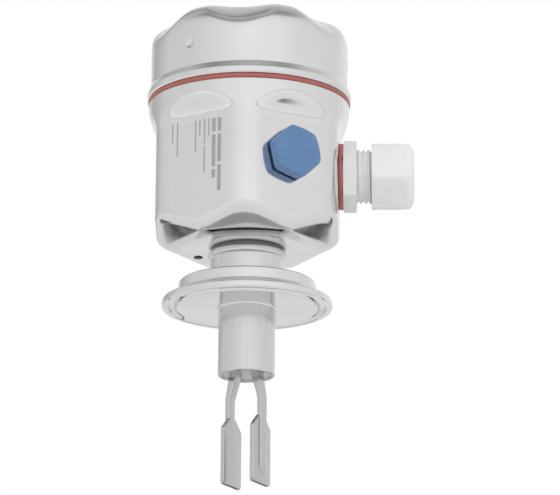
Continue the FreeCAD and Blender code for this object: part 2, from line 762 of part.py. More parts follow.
def terminal_screws():
    low = PLATE_TOP + TERMINAL_FLOOR + CAGE_HEIGHT
    neck = low + CLAMP_SHANK
    high = neck + CLAMP_HEAD
    y = TERMINAL_FRONT + SCREW_REACH
    screws = [slotted_screw(CLAMP_SCREW_R, CLAMP_HEAD_R, low, neck, high, x, y) for x in terminal_centres()]
    return Part.makeCompound(screws)


def switch_frame():
    """Frame of the two slide switches, with a slot for each slider."""
    x_range = (SWITCH_X[0] - SWITCH_MARGIN, SWITCH_X[-1] + SWITCH_MARGIN)
    top = PLATE_TOP + SWITCH_FRAME_HEIGHT
    frame = block(x_range, SWITCH_FRAME_Y, (PLATE_TOP, top))
    half = SWITCH_SIZE / 2 + SWITCH_GAP
    slot_y = (SWITCH_START - SWITCH_GAP, SWITCH_START + SWITCH_SIZE + SWITCH_TRAVEL + SWITCH_GAP)
    slots = [block((x - half, x + half), slot_y, (PLATE_TOP + SWITCH_FLOOR, top)) for x in SWITCH_X]
    return frame.cut(slots)


def switch_slider(x):
    half = SWITCH_SIZE / 2
    y_range = (SWITCH_START, SWITCH_START + SWITCH_SIZE)
    return block((x - half, x + half), y_range, (PLATE_TOP + SWITCH_LOW, PLATE_TOP + SWITCH_HIGH))


def status_lamps():
    top = PLATE_TOP + LAMP_HEIGHT
    lamps = []
    for x in LAMP_X:
        lamp = turned([(0, PLATE_TOP), (LAMP_R, PLATE_TOP), (LAMP_R, top, LAMP_ROUND), (0, top)])
        lamp.translate(Vector(x, LAMP_Y, 0))
        lamps.append(lamp)
    return Part.makeCompound(lamps)


def earth_bracket():
    """Block on the inside of a flat that carries the earth terminal."""
    x_range = (INSIDE_FLAT - EARTH_DEPTH, INSIDE_FLAT)
    return rotated(block(x_range, (-EARTH_HALF, EARTH_HALF), (EARTH_LOW, EARTH_HIGH)), EARTH_TURN)


def earth_clamp():
    reach = INSIDE_FLAT - EARTH_REACH
    top = EARTH_HIGH + EARTH_PLATE_THICK
    deep, wide = EARTH_PLATE_HALF
    plate = block((reach - deep, reach + deep), (-wide, wide), (EARTH_HIGH, top))
    return rotated(plate.cut(disc(EARTH_SCREW_R, EARTH_HIGH, top, reach)), EARTH_TURN)


def earth_screw():
    reach = INSIDE_FLAT - EARTH_REACH
    neck = EARTH_HIGH + EARTH_PLATE_THICK
    screw = slotted_screw(EARTH_SCREW_R, EARTH_HEAD_R, EARTH_HIGH, neck, neck + EARTH_HEAD_HEIGHT, reach, 0)
    return rotated(screw, EARTH_TURN)


PIECES = {
    "vibrating_fork": vibrating_fork,
    "sensor_tube": sensor_tube,
    "clamp_ferrule": clamp_ferrule,
    "piezo_discs": piezo_discs,
    "contact_discs": contact_discs,
    "stack_insulators": stack_insulators,
    "stack_nut": stack_nut,
    "tension_bolt": tension_bolt,
    "sensor_lead": sensor_lead,
    "sensor_plug": sensor_plug,
    "neck_adapter": neck_adapter,
    "neck_seal": neck_seal,
    "neck_nut": neck_nut,
    "housing_body": housing_body,
    "vent_filter": vent_filter,
    "thread_ring": thread_ring,
    "gland_socket": lambda: entry_socket(GLAND_HOLE_R, 0.0),
    "plug_socket": lambda: entry_socket(PLUG_HOLE_R, PLUG_TURN),
    "cover_seal": cover_seal,
    "cover": cover,
    "gland_washer": gland_washer,
    "gland_body": gland_body,
    "gland_seal": gland_seal,
    "gland_slip_ring": gland_slip_ring,
    "gland_nut": gland_nut,
    "plug_seal": plug_seal,
    "blind_plug": blind_plug,
    "insert_posts": insert_posts,
    "insert_case": insert_case,
    "circuit_board": circuit_board,
    "insert_plate": insert_plate,
    "insert_screws": insert_screws,
    "terminal_block": terminal_block,
    "terminal_clamps": terminal_clamps,
    "terminal_screws": terminal_screws,
    "switch_frame": switch_frame,
    "mode_switch": lambda: switch_slider(SWITCH_X[0]),
    "density_switch": lambda: switch_slider(SWITCH_X[1]),
    "status_lamps": status_lamps,
    "earth_bracket": earth_bracket,
    "earth_clamp": earth_clamp,
    "earth_screw": earth_screw,
}


def main():
    os.makedirs("parts", exist_ok=True)
    for name, make in PIECES.items():
        shape = make()
        if not shape.isValid() or not shape.Solids:
            raise RuntimeError(f"{name} is not a valid solid")
        shape.exportStep(f"parts/{name}.step")


main()
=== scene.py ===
import json
import math

import bmesh
import bpy
from mathutils import Matrix, Vector


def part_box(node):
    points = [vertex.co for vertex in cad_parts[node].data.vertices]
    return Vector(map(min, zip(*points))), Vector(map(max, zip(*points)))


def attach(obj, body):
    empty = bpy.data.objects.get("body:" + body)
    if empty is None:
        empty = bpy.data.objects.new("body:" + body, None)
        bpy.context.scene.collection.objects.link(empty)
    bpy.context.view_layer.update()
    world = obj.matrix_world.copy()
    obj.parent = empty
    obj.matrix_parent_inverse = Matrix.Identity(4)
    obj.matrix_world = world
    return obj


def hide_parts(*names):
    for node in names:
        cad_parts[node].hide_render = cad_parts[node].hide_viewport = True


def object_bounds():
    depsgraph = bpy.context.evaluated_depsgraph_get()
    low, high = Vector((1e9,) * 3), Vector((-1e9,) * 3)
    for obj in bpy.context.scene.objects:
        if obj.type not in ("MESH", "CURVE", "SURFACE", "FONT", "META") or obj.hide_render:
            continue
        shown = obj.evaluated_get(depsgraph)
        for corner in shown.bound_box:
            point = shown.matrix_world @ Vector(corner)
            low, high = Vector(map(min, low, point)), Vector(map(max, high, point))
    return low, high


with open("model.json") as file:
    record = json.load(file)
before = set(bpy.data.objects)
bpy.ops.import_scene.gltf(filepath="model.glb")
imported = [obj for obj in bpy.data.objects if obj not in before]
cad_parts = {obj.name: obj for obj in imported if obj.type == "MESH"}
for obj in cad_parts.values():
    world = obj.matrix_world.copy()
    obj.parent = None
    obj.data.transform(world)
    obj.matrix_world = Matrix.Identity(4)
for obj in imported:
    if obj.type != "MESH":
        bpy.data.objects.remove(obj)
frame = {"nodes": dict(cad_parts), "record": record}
CAD_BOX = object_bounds()

bl_info = {
    "name": "Fork level switch",
    "version": (1, 0, 0),
    "blender": (4, 5, 0),
    "location": "View3D > Sidebar > Level switch",
    "description": "Dresses a packed fork level switch in drawn steel, red seals and moulded plastic",
    "category": "Object",
}

SIXTH = math.radians(60)
ROUND_STEPS = 192
DRAWN_STEPS = 288
ARC_STEP = math.radians(9)
SHARP = math.radians(32)
SHARP_PRESSED = math.radians(40)
MERGE = 1e-6
GLAND_HOLE = 0.010


def low_of(node):
    """Lower corner of a solid's box."""
    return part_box(node)[0]


def high_of(node):
    """Upper corner of a solid's box."""
    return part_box(node)[1]


def length(label, description, default):
    """A size in metres."""
    return bpy.props.FloatProperty(
        name=label, description=description, default=default, min=-1.0, max=10.0,
        subtype="DISTANCE", unit="LENGTH", precision=5,
    )


def angle(label, description, degrees):
    """An angle, given in degrees."""
    return bpy.props.FloatProperty(
        name=label, description=description, default=math.radians(degrees), subtype="ANGLE", unit="ROTATION",
    )


def tint(label, description, red, green, blue):
    """A colour in linear light."""
    return bpy.props.FloatVectorProperty(
        name=label, description=description, default=(red, green, blue), size=3, min=0.0, max=1.0,
        subtype="COLOR",
    )


def power(label, description, watts):
    """The power of a lamp in watts."""
    return bpy.props.FloatProperty(name=label, description=description, default=watts, unit="POWER")


def group(kind, label, description):
    """A group of settings within the settings."""
    return bpy.props.PointerProperty(type=kind, name=label, description=description)


class HousingSizes(bpy.types.PropertyGroup):
    """Sizes of the drawn cup."""

    radius: length("Radius", "Outside of the round mouth", high_of("housing_body").x)
    base: length("Base", "Height of the flat underside", low_of("housing_body").z)
    top: length("Top", "Height of the rim", high_of("housing_body").z)
    wall: length("Wall", "Thickness of the drawn sheet", 0.0018)
    flat: length("Flat", "From the axis to a pressed flat", 0.0343)
    ridge: length("Ridge", "Rounding of the ridges between the flats", 0.0102)
    step_low: length("Step", "Height where a flat starts to swell to the round mouth", 0.068)
    step_rise: length("Step rise", "Height of the swelling", 0.0065)
    foot: length("Foot", "From the axis to the start of a sloping face", 0.0255)
    foot_slope: angle("Foot slope", "Rise of the sloping faces under the ridges", 32.5)
    foot_corner: length("Foot corner", "Rounding between the sloping faces", 0.005)
    foot_round: length("Foot rounding", "Rounding at the flat underside", 0.009)
    softness: length("Softness", "Width of the drawn roundings", 0.0036)
    step_softness: length("Step softness", "Width of the roundings at the step", 0.0018)


class CoverSizes(bpy.types.PropertyGroup):
    """Sizes of the screw cover."""

    radius: length("Radius", "Outside of the wall", 0.0373)
    rim: length("Rim", "Outside of the rolled rim", high_of("cover").x)
    low: length("Low", "Height of the rim's underside", low_of("cover").z)
    top: length("Top", "Height of the flat top", high_of("cover").z)
    rim_top: length("Rim top", "Height of the rolled rim's upper edge", 0.0834)
    wall_low: length("Wall start", "Height where the wall starts", 0.0858)
    bore: length("Bore", "Inside of the wall", 0.035)
    wall: length("Sheet", "Thickness of the top", 0.0018)
    shoulder: length("Shoulder", "Rounding from the wall to the top", 0.0098)
    turn: angle("Turn", "Turn of the grip faces when the cover is tight", -3.6)
    scoop_start: length("Scoop start", "From the axis to a grip face", 0.0262)
    scoop_slope: angle("Scoop slope", "Fall of a grip face", 37.0)
    scoop_radius: length("Scoop radius", "Roundness of a grip face", 0.030)
    softness: length("Softness", "Width of the roundings at the grip faces", 0.0040)
    dimple: length("Dimple", "Radius of a dimple", 0.0026)
    dimple_depth: length("Dimple depth", "Depth of a dimple", 0.0007)
    dimple_height: length("Dimple height", "Height of the dimples", 0.0947)
    dimple_turn: angle("Dimple turn", "Place of the first dimple round the wall", -124.5)


class ConnectionSizes(bpy.types.PropertyGroup):
    """Sizes of the clamp ferrule, the neck and the sensor tube."""

    rim: length("Clamp rim", "Radius of the clamp rim", high_of("clamp_ferrule").x)
    edge: length("Clamp edge", "Height of the clamp rim's edge", 0.00285)
    hub: length("Hub", "Radius of the hub", 0.0258)
    hub_top: length("Hub top", "Height of the hub", high_of("clamp_ferrule").z)
    groove: length("Groove", "Middle of the seal groove", 0.02815)
    groove_width: length("Groove width", "Width of the seal groove", 0.0033)
    groove_depth: length("Groove depth", "Depth of the seal groove", 0.0016)
    tube: length("Tube", "Radius of the sensor tube", 0.01065)
    tube_end: length("Tube end", "Height of the tube's lower end", low_of("sensor_tube").z)
    fit: length("Tube fit", "Radius of the tube inside the ferrule", 0.01025)
    bead: length("Weld bead", "Width of the weld bead under the rim", 0.0007)
    neck: length("Neck", "Radius of the neck", 0.01385)
    shoulder: length("Shoulder", "Radius of the neck's shoulder", 0.0147)
    shoulder_low: length("Shoulder start", "Height where the shoulder starts", 0.0186)
    shoulder_high: length("Shoulder end", "Height where the shoulder ends", low_of("neck_seal").z)
    spigot: length("Spigot", "Radius of the spigot in the housing", 0.0118)


class ForkSizes(bpy.types.PropertyGroup):
    """Sizes of the fork."""

    turn: angle("Turn", "Turn of the fork about the axis", -26.0)
    tip: length("Tip", "Height of the fork's tip", low_of("vibrating_fork").z)
    face: length("Face", "Height of the diaphragm", -0.0253)
    back: length("Back", "Height of the diaphragm's back", high_of("vibrating_fork").z)
    diaphragm: length("Diaphragm", "Radius of the diaphragm", 0.0096)
    inside: length("Inside", "From the axis to a blade", 0.00535)
    thick: length("Blade thickness", "Thickness of a blade", 0.0016)
    width: length("Blade width", "Width of a blade", 0.0134)
    top: length("Blade top", "Height where a blade has its full width", -0.046)
    shoulder: length("Blade shoulder", "Height where a blade leaves its stem", -0.0417)
    stem_width: length("Stem width", "Width of a stem", 0.0044)
    stem_thick: length("Stem thickness", "Thickness of a stem", 0.0025)
    root_inside: length("Root", "From the axis to a stem's root", 0.0024)
    root_thick: length("Root thickness", "Thickness of a stem's root", 0.0038)
    bend: length("Bend", "Height of a stem's bend", -0.0345)
    bow: length("Bow", "Roundness of a stem's bend", 0.009)
    rib_end: length("Rib end", "Height where the rib has run out", -0.064)
    rib_runout: length("Rib run-out", "Length of the rib's run-out", 0.003)


class GlandSizes(bpy.types.PropertyGroup):
    """Sizes of the cable gland."""

    height: length("Height", "Height of the entries' axes", 0.0516)
    washer: length("Washer", "Radius of the washer", 0.01255)
    start: length("Start", "From the axis to the washer", low_of("gland_washer").x)
    hexagon_start: length("Hexagon start", "From the axis to the hexagon", high_of("gland_washer").x)
    hexagon_end: length("Hexagon end", "From the axis to the hexagon's outer face", 0.0409)
    hexagon: length("Hexagon", "Half the width across the hexagon's flats", 0.0119)
    hexagon_turn: angle("Hexagon turn", "Turn of the hexagon", 46.0)
    sleeve_end: length("Sleeve end", "From the axis to the sleeve's end", high_of("gland_body").x)
    crest: length("Thread crest", "Radius of the thread's crest", 0.0103)
    root: length("Thread root", "Radius of the thread's root", 0.0092)
    pitch: length("Thread pitch", "Rise of the thread in a turn", 0.0018)
    nut_start: length("Nut start", "From the axis to the cap nut", low_of("gland_nut").x)
    nut_end: length("Nut end", "From the axis to the cap nut's end", high_of("gland_nut").x)
    nut: length("Nut", "Half the width across the cap nut's flats", 0.0124)
    nut_turn: angle("Nut turn", "Turn of the cap nut", 16.0)
    nut_corner: length("Nut corner", "Rounding of the cap nut's edges", 0.0016)
    nut_round: length("Nut rounding", "Rounding of the cap nut's outer end", 0.0065)
    mouth: length("Mouth", "Radius of the cap nut's mouth", 0.0064)
    cable: length("Cable", "Radius of the seal's bore", 0.0045)


class PlugSizes(bpy.types.PropertyGroup):
    """Sizes of the blanking plug."""

    turn: angle("Turn", "Turn of the plug's axis about the housing", -60.0)
    head_turn: angle("Head turn", "Turn of the head about its own axis", 13.5)
    flat: length("Flat", "Half the width across the head's flats", 0.0089)
    thick: length("Head", "Thickness of the head", 0.005)
    corner: length("Corner", "Rounding of the head's edges", 0.0022)
    bevel: length("Bevel", "Height of the front bevel", 0.0011)
    bevel_reach: length("Bevel reach", "Width of the front bevel", 0.0016)
    shank: length("Shank", "Radius of the threaded shank", 0.0077)
    shank_length: length("Shank length", "Length of the shank behind the flat", 0.007)
    hole: length("Hole", "Radius of the hole in the housing", 0.00805)
    seal: length("Seal", "Thickness of the seal", 0.0011)
    pitch: length("Thread pitch", "Rise of the thread in a turn", 0.0015)


class FinishColours(bpy.types.PropertyGroup):
    """Colours of the finishes."""

    steel: tint("Steel", "Polished drawn steel", 0.77, 0.77, 0.772)
    turned: tint("Turned steel", "Turned and plain steel", 0.72, 0.72, 0.722)
    ground: tint("Ground steel", "Tube, ground lengthwise", 0.69, 0.69, 0.692)
    satin: tint("Satin steel", "Fork, ground lengthwise", 0.57, 0.575, 0.58)
    red: tint("Seal red", "Silicone seals", 0.42, 0.12, 0.10)
    black: tint("Rubber black", "Black rubber", 0.02, 0.02, 0.021)
    # The neck seal's grey is painted shade: it copies the shaded groove band under the housing, and is not
    # wear.
    groove_shade_grey: tint("Rubber grey", "Greyed rubber under the housing", 0.26, 0.26, 0.262)
    ink: tint("Ink", "Printed bars on a flat", 0.36, 0.36, 0.365)
    grey: tint("Gland grey", "Light plastic of the gland", 0.82, 0.825, 0.82)
    blue: tint("Plug blue", "Plastic of the blanking plug", 0.11, 0.22, 0.42)
    dark: tint("Insert black", "Plastic of the electronic insert", 0.03, 0.03, 0.032)
    green: tint("Terminal green", "Plastic of the terminals", 0.03, 0.22, 0.08)
    white: tint("Slider white", "Plastic of the sliders", 0.78, 0.78, 0.76)
    brass: tint("Brass", "Contacts and clamps", 0.70, 0.47, 0.18)
    ceramic: tint("Ceramic", "Discs of the drive", 0.72, 0.68, 0.6)
    lamp: tint("Lamp", "Clear lamp bodies", 0.6, 0.64, 0.6)


class StudioSizes(bpy.types.PropertyGroup):
    """Camera, floor and lights."""

    target: length("Target", "Height of the point that the camera looks at", 0.02)
    distance: length("Distance", "From the camera to that point", 1.6)
    turn: angle("Camera turn", "Camera's turn about the object", 2.5)
    rise: angle("Camera rise", "Camera's angle above the horizon", -15.71)
    roll: angle("Camera roll", "Tilt of the picture", 0.6)
    lens: length("Lens", "Focal length of the camera", 0.2737)
    floor: tint("Floor", "Colour of the floor", 0.92, 0.92, 0.92)
    key: power("Key light", "Power of the key light", 7.0)
    fill: power("Fill light", "Power of the fill light", 3.0)
    sky: bpy.props.FloatProperty(
        name="Room light", description="Level of the even light", default=0.80, min=0.0, max=1.0,
    )


class LevelSwitchSettings(bpy.types.PropertyGroup):
    """All that a user would change."""

    housing: group(HousingSizes, "Housing", "Sizes of the housing")
    cover: group(CoverSizes, "Cover", "Sizes of the cover")
    connection: group(ConnectionSizes, "Connection", "Sizes of the ferrule, neck and tube")
    fork: group(ForkSizes, "Fork", "Sizes of the fork")
    gland: group(GlandSizes, "Gland", "Sizes of the gland")
    plug: group(PlugSizes, "Plug", "Sizes of the plug")
    colours: group(FinishColours, "Colours", "Colours of the finishes")
    studio: group(StudioSizes, "Studio", "Camera, floor and lights")


def settings():
    """The settings of the scene that is open."""
    return bpy.context.scene.level_switch


# Meshes


def soft_min(a, b, width):
    """The smaller of two numbers, with a rounding of a given width where they meet."""
    share = max(width - abs(a - b), 0.0) / width
    return min(a, b) - share * share * width / 4


def soft_max(a, b, width):
    """The larger of two numbers, rounded in the same way."""
    return -soft_min(-a, -b, width)


def round_corner(bm, verts, points, index, radius, least):
    """Rounds a corner of a wire with an arc of at least so many segments."""
    back = points[index - 1] - points[index]
    ahead = points[(index + 1) % len(points)] - points[index]
    opening = back.angle(ahead)
    segments = max(least, math.ceil((math.pi - opening) / ARC_STEP))
    bmesh.ops.bevel(
        bm, geom=[verts[index]], offset=radius / math.tan(opening / 2), offset_type="OFFSET",
        segments=segments, profile=0.5, affect="VERTICES", material=-1, clamp_overlap=False,
    )


def profile_wire(bm, corners, pitch=0.0, closed=False):
    """A wire in the XZ plane through (radius, height) or (radius, height, rounding) corners."""
    points = [Vector((corner[0], 0, corner[1])) for corner in corners]
    verts = [bm.verts.new(point) for point in points]
    for pair in zip(verts, verts[1:]):
        bm.edges.new(pair)
    if closed:
        bm.edges.new((verts[-1], verts[0]))
    for index, corner in enumerate(corners):
        if len(corner) == 3:
            round_corner(bm, verts, points, index, corner[2], 2)
    if pitch:
        for edge in list(bm.edges):
            cuts = math.ceil(edge.calc_length() / pitch) - 1
            if cuts > 0:
                bmesh.ops.subdivide_edges(bm, edges=[edge], cuts=cuts)


def turned(corners, pitch=0.0, closed=False, steps=ROUND_STEPS):
    """A profile spun about Z."""
    bm = bmesh.new()
    profile_wire(bm, corners, pitch, closed)
    geom = list(bm.verts) + list(bm.edges)
    bmesh.ops.spin(
        bm, geom=geom, cent=(0, 0, 0), axis=(0, 0, 1), angle=math.tau, steps=steps, use_merge=True,
    )
    bmesh.ops.remove_doubles(bm, verts=bm.verts, dist=MERGE)
    bmesh.ops.dissolve_degenerate(bm, edges=bm.edges, dist=MERGE)
    bmesh.ops.recalc_face_normals(bm, faces=bm.faces)
    return bm


def added(bm, other):
    """Puts the faces of another mesh into the first one."""
    mesh = bpy.data.meshes.new("joined")
    other.to_mesh(mesh)
    other.free()
    bm.from_mesh(mesh)
    bpy.data.meshes.remove(mesh)


def thread(root, crest, start, end, pitch, steps=72):
    """A closed helical ridge about Z."""
    bm = bmesh.new()
    foot = pitch * 0.44
    tip = pitch * 0.1
    profile_wire(bm, [(root, start), (crest, start + foot - tip), (crest, start + foot + tip),
                      (root, start + 2 * foot)], closed=True)
    geom = list(bm.verts) + list(bm.edges)
    turns = (end - start) / pitch - 1
    count = int(turns * steps)
    bmesh.ops.spin(
        bm, geom=geom, cent=(0, 0, 0), axis=(0, 0, 1), dvec=(0, 0, pitch / steps),
        angle=math.tau * count / steps, steps=count, use_merge=False,
    )
    bmesh.ops.holes_fill(bm, edges=[edge for edge in bm.edges if edge.is_boundary], sides=4)
    bmesh.ops.recalc_face_normals(bm, faces=bm.faces)
    return bm


def hexagon_reach(flat, corner, turn):
    """From the middle of a rounded hexagon to its outline, turned from the middle of a flat."""
    turn = abs((turn + SIXTH / 2) % SIXTH - SIXTH / 2)
    from_corner = SIXTH / 2 - turn
    centre = (flat - corner) / math.cos(SIXTH / 2)
    meets = math.atan2(corner * math.sin(SIXTH / 2), centre + corner * math.cos(SIXTH / 2))
    if from_corner > meets:
        return flat / math.cos(turn)
    across = centre * math.sin(from_corner)
    return centre * math.cos(from_corner) + math.sqrt(corner * corner - across * across)


def crowd_corners(bm, turn, share=0.11):
    """Turns the points of a round piece towards the edges that a hexagon will have."""
    for vert in bm.verts:
        about = math.atan2(vert.co.y, vert.co.x) - turn
        shift = share * math.sin(6 * about)
        vert.co = Matrix.Rotation(shift, 3, "Z") @ vert.co


def press_hexagon(bm, flat, corner, turn, softness):
    """Presses six flats into a round piece."""
    for vert in bm.verts:
        reach = math.hypot(vert.co.x, vert.co.y)
        if reach < flat - softness:
            continue
        about = math.atan2(vert.co.y, vert.co.x) - turn
        pressed = soft_min(reach, hexagon_reach(flat, corner, about), softness)
        vert.co.x *= pressed / reach
        vert.co.y *= pressed / reach


def to_entry(bm, turn=0.0):
    """Lays a piece made about Z on the axis of an entry."""
    place = Matrix.Rotation(turn, 4, "Z") @ Matrix.Translation((0, 0, settings().gland.height))
    lay = Matrix.Rotation(math.pi / 2, 4, "Y")
    bmesh.ops.transform(bm, matrix=place @ lay, verts=bm.verts)
    return bm


def shown(name, bm, material):
    """Makes an object of a mesh."""
    mesh = bpy.data.meshes.new(name)
    bm.to_mesh(mesh)
    bm.free()
    mesh.materials.append(material)
    thing = bpy.data.objects.new(name, mesh)
    bpy.context.scene.collection.objects.link(thing)
    return thing


def piece(name, bm, body, material, nodes, sharp=SHARP):
    """Makes a smooth object of a mesh, rides it on its body and lets it stand for its solids."""
    if not bm.faces:
        raise RuntimeError(f"{name} has no faces")
    thing = shown(name, bm, material)
    thing.data.shade_smooth()
    thing.data.set_sharp_from_angle(angle=sharp)
    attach(thing, body)
    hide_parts(*nodes)


# Finishes

NOISE_LOW = 0.3
NOISE_HIGH = 0.7


def wired(tree, kind, inputs, **values):
    """Adds a node, feeds its inputs with numbers and sockets, and gives its outputs."""
    node = tree.nodes.new(kind)
    for key, value in values.items():
        setattr(node, key, value)
    for socket, source in inputs.items():
        if isinstance(source, bpy.types.NodeSocket):
            tree.links.new(source, node.inputs[socket])
        else:
            node.inputs[socket].default_value = source
    return node.outputs


def worked(tree, operation, *values):
    """One step of arithmetic on numbers and sockets."""
    return wired(tree, "ShaderNodeMath", dict(enumerate(values)), operation=operation)["Value"]


class Finish:
    """A material that is built up from object coordinates."""

    def __init__(self, name, colour, metallic=0.0, roughness=0.5):
        self.material = bpy.data.materials.new(name)
        self.material.use_nodes = True
        self.tree = self.material.node_tree
        self.shader = self.tree.nodes["Principled BSDF"]
        self.colour = tuple(colour)
        self.shader.inputs["Metallic"].default_value = metallic
        self.shader.inputs["Base Color"].default_value = (*self.colour, 1)
        self.shader.inputs["Roughness"].default_value = roughness
        self.place = self.wired("ShaderNodeTexCoord", {})["Object"]

    def wired(self, kind, inputs, **values):
        """A node in this finish, by its outputs."""
        return wired(self.tree, kind, inputs, **values)

    def feed(self, source, socket):
        """Leads a socket to the shader."""
        self.tree.links.new(source, self.shader.inputs[socket])

    def noise(self, scale, detail, stretch=(1, 1, 1), source=None):
        """Cloudy variation, in waves per metre."""
        place = self.wired("ShaderNodeMapping", {"Scale": stretch, "Vector": source or self.place})["Vector"]
        return self.wired("ShaderNodeTexNoise", {"Scale": scale, "Detail": detail, "Vector": place})["Fac"]

    def around(self):
        """Distance from the axis and height, so that a pattern runs round a turned piece."""
        split = self.wired("ShaderNodeSeparateXYZ", {"Vector": self.place})
        flat = self.wired("ShaderNodeCombineXYZ", {"X": split["X"], "Y": split["Y"]})["Vector"]
        reach = self.wired("ShaderNodeVectorMath", {0: flat}, operation="LENGTH")["Value"]
        return self.wired("ShaderNodeCombineXYZ", {"X": reach, "Z": split["Z"]})["Vector"]

    def ranged(self, source, low, high):
        """A level between two others, over the middle of a noise's range."""
        return self.wired("ShaderNodeMapRange", {
            "From Min": NOISE_LOW, "From Max": NOISE_HIGH, "To Min": low, "To Max": high, "Value": source,
        })["Result"]

    def tone(self, source, darker, lighter):
        """Colour between a darker and a lighter shade of the finish."""
        shades = [(*(min(c * level, 1.0) for c in self.colour), 1) for level in (darker, lighter)]
        mix = self.wired("ShaderNodeMix", {
            "Factor": self.ranged(source, 0.0, 1.0), 6: shades[0], 7: shades[1],
        }, data_type="RGBA")
        self.feed(mix[2], "Base Color")
        return self

    def sheen(self, source, low, high):
        """Roughness between two levels."""
        self.feed(self.ranged(source, low, high), "Roughness")
        return self

    def relief(self, source, depth, strength):
        """Fine relief of a depth in metres."""
        bump = self.wired("ShaderNodeBump", {"Strength": strength, "Distance": depth, "Height": source})
        self.feed(bump["Normal"], "Normal")
        return self

    def along(self, way):
        """How far a point lies along a way."""
        return self.wired("ShaderNodeVectorMath", {0: self.place, 1: way}, operation="DOT_PRODUCT")["Value"]

    def covered(self, share, cover):
        """Shows another shader in place of the finish, by a share of 0 to 1."""
        mix = self.wired("ShaderNodeMixShader", {"Fac": share, 1: self.shader.outputs["BSDF"], 2: cover})
        self.tree.links.new(mix["Shader"], self.tree.nodes["Material Output"].inputs["Surface"])
        return self

    def printed(self, bars, out, across, reach, ink):
        """Plain printed bars on the flat that faces outwards, past a given reach."""
        place = self.along(across)
        height = self.along((0, 0, 1))
        inked = []
        for middle, level, wide, long in bars:
            beside = worked(self.tree, "COMPARE", place, middle, wide)
            level_with = worked(self.tree, "COMPARE", height, level, long)
            inked.append(worked(self.tree, "MULTIPLY", beside, level_with))
        total = inked[0]
        for bar in inked[1:]:
            total = worked(self.tree, "MAXIMUM", total, bar)
        outside = worked(self.tree, "GREATER_THAN", self.along(out), reach)
        paint = self.wired("ShaderNodeBsdfDiffuse", {"Color": (*ink, 1)})["BSDF"]
        return self.covered(worked(self.tree, "MULTIPLY", total, outside), paint)


# Each bar by its middle across the flat, its height, half its width and half its length
LABEL_BARS = (
    (0.0089, 0.0620, 0.0008, 0.0026), (0.0089, 0.0529, 0.0008, 0.0054), (0.0089, 0.0413, 0.0008, 0.0050),
    (0.0064, 0.0620, 0.0008, 0.0026), (0.0064, 0.0521, 0.0008, 0.0062), (0.0064, 0.0432, 0.0008, 0.0016),
    (0.0042, 0.0615, 0.0003, 0.0035), (0.0023, 0.0604, 0.0003, 0.0049), (0.0023, 0.0493, 0.0003, 0.0053),
    (0.0002, 0.0618, 0.0003, 0.0031), (-0.0016, 0.0587, 0.0003, 0.0061), (-0.0097, 0.0587, 0.0003, 0.0067),
    (-0.0119, 0.0615, 0.0003, 0.0037),
)
LABEL_OUT = (-0.5, -math.sqrt(0.75), 0.0)
LABEL_ACROSS = (math.sqrt(0.75), -0.5, 0.0)
LABEL_REACH = 0.033
BELT_LINES = (1, 1, 0.02)
BELT_SHEEN = (1, 1, 0.05)
GRAIN_DEPTH = 0.00002


def drawn_steel(name, colour):
    """Smooth steel as it comes from polishing, a little cloudy."""
    made = Finish(name, colour, metallic=1.0)
    made.tone(made.noise(45, 3), 0.97, 1.02)
    made.sheen(made.noise(160, 4), 0.08, 0.13)
    return made.relief(made.noise(110, 2), 0.000012, 0.5)


def ground_steel(name, colour):
    """Steel with the fine lines of a belt along the sensor's axis."""
    made = Finish(name, colour, metallic=1.0)
    made.tone(made.noise(1500, 3, stretch=BELT_LINES), 0.96, 1.03)
    made.sheen(made.noise(900, 3, stretch=BELT_SHEEN), 0.18, 0.26)
    return made.relief(made.noise(2600, 2, stretch=BELT_LINES), 0.0000015, 0.4)


def turned_steel(name, colour):
    """Steel with the fine rings of a lathe."""
    made = Finish(name, colour, metallic=1.0)
    made.tone(made.noise(60, 3), 0.95, 1.04)
    made.sheen(made.noise(900, 3, source=made.around()), 0.2, 0.3)
    return made.relief(made.noise(2600, 2, source=made.around()), 0.00001, 0.6)


def clouded(name, colour, clouds, shine, detail=3, metallic=0.0):
    """A finish with clouds of (waves per metre, darker, lighter) and a shine of (waves, low, high)."""
    made = Finish(name, colour, metallic)
    waves, darker, lighter = clouds
    made.tone(made.noise(waves, detail), darker, lighter)
    waves, low, high = shine
    return made.sheen(made.noise(waves, 3), low, high)


def rubber(name, colour, clouds, shine, strength):
    """Moulded rubber with a soft grain."""
    made = clouded(name, colour, clouds, shine)
    return made.relief(made.noise(2500, 2), GRAIN_DEPTH, strength)


def moulding(name, colour, clouds, shine, strength):
    """Moulded plastic with a fine grain."""
    made = clouded(name, colour, clouds, shine)
    return made.relief(made.noise(3500, 3), GRAIN_DEPTH, strength)


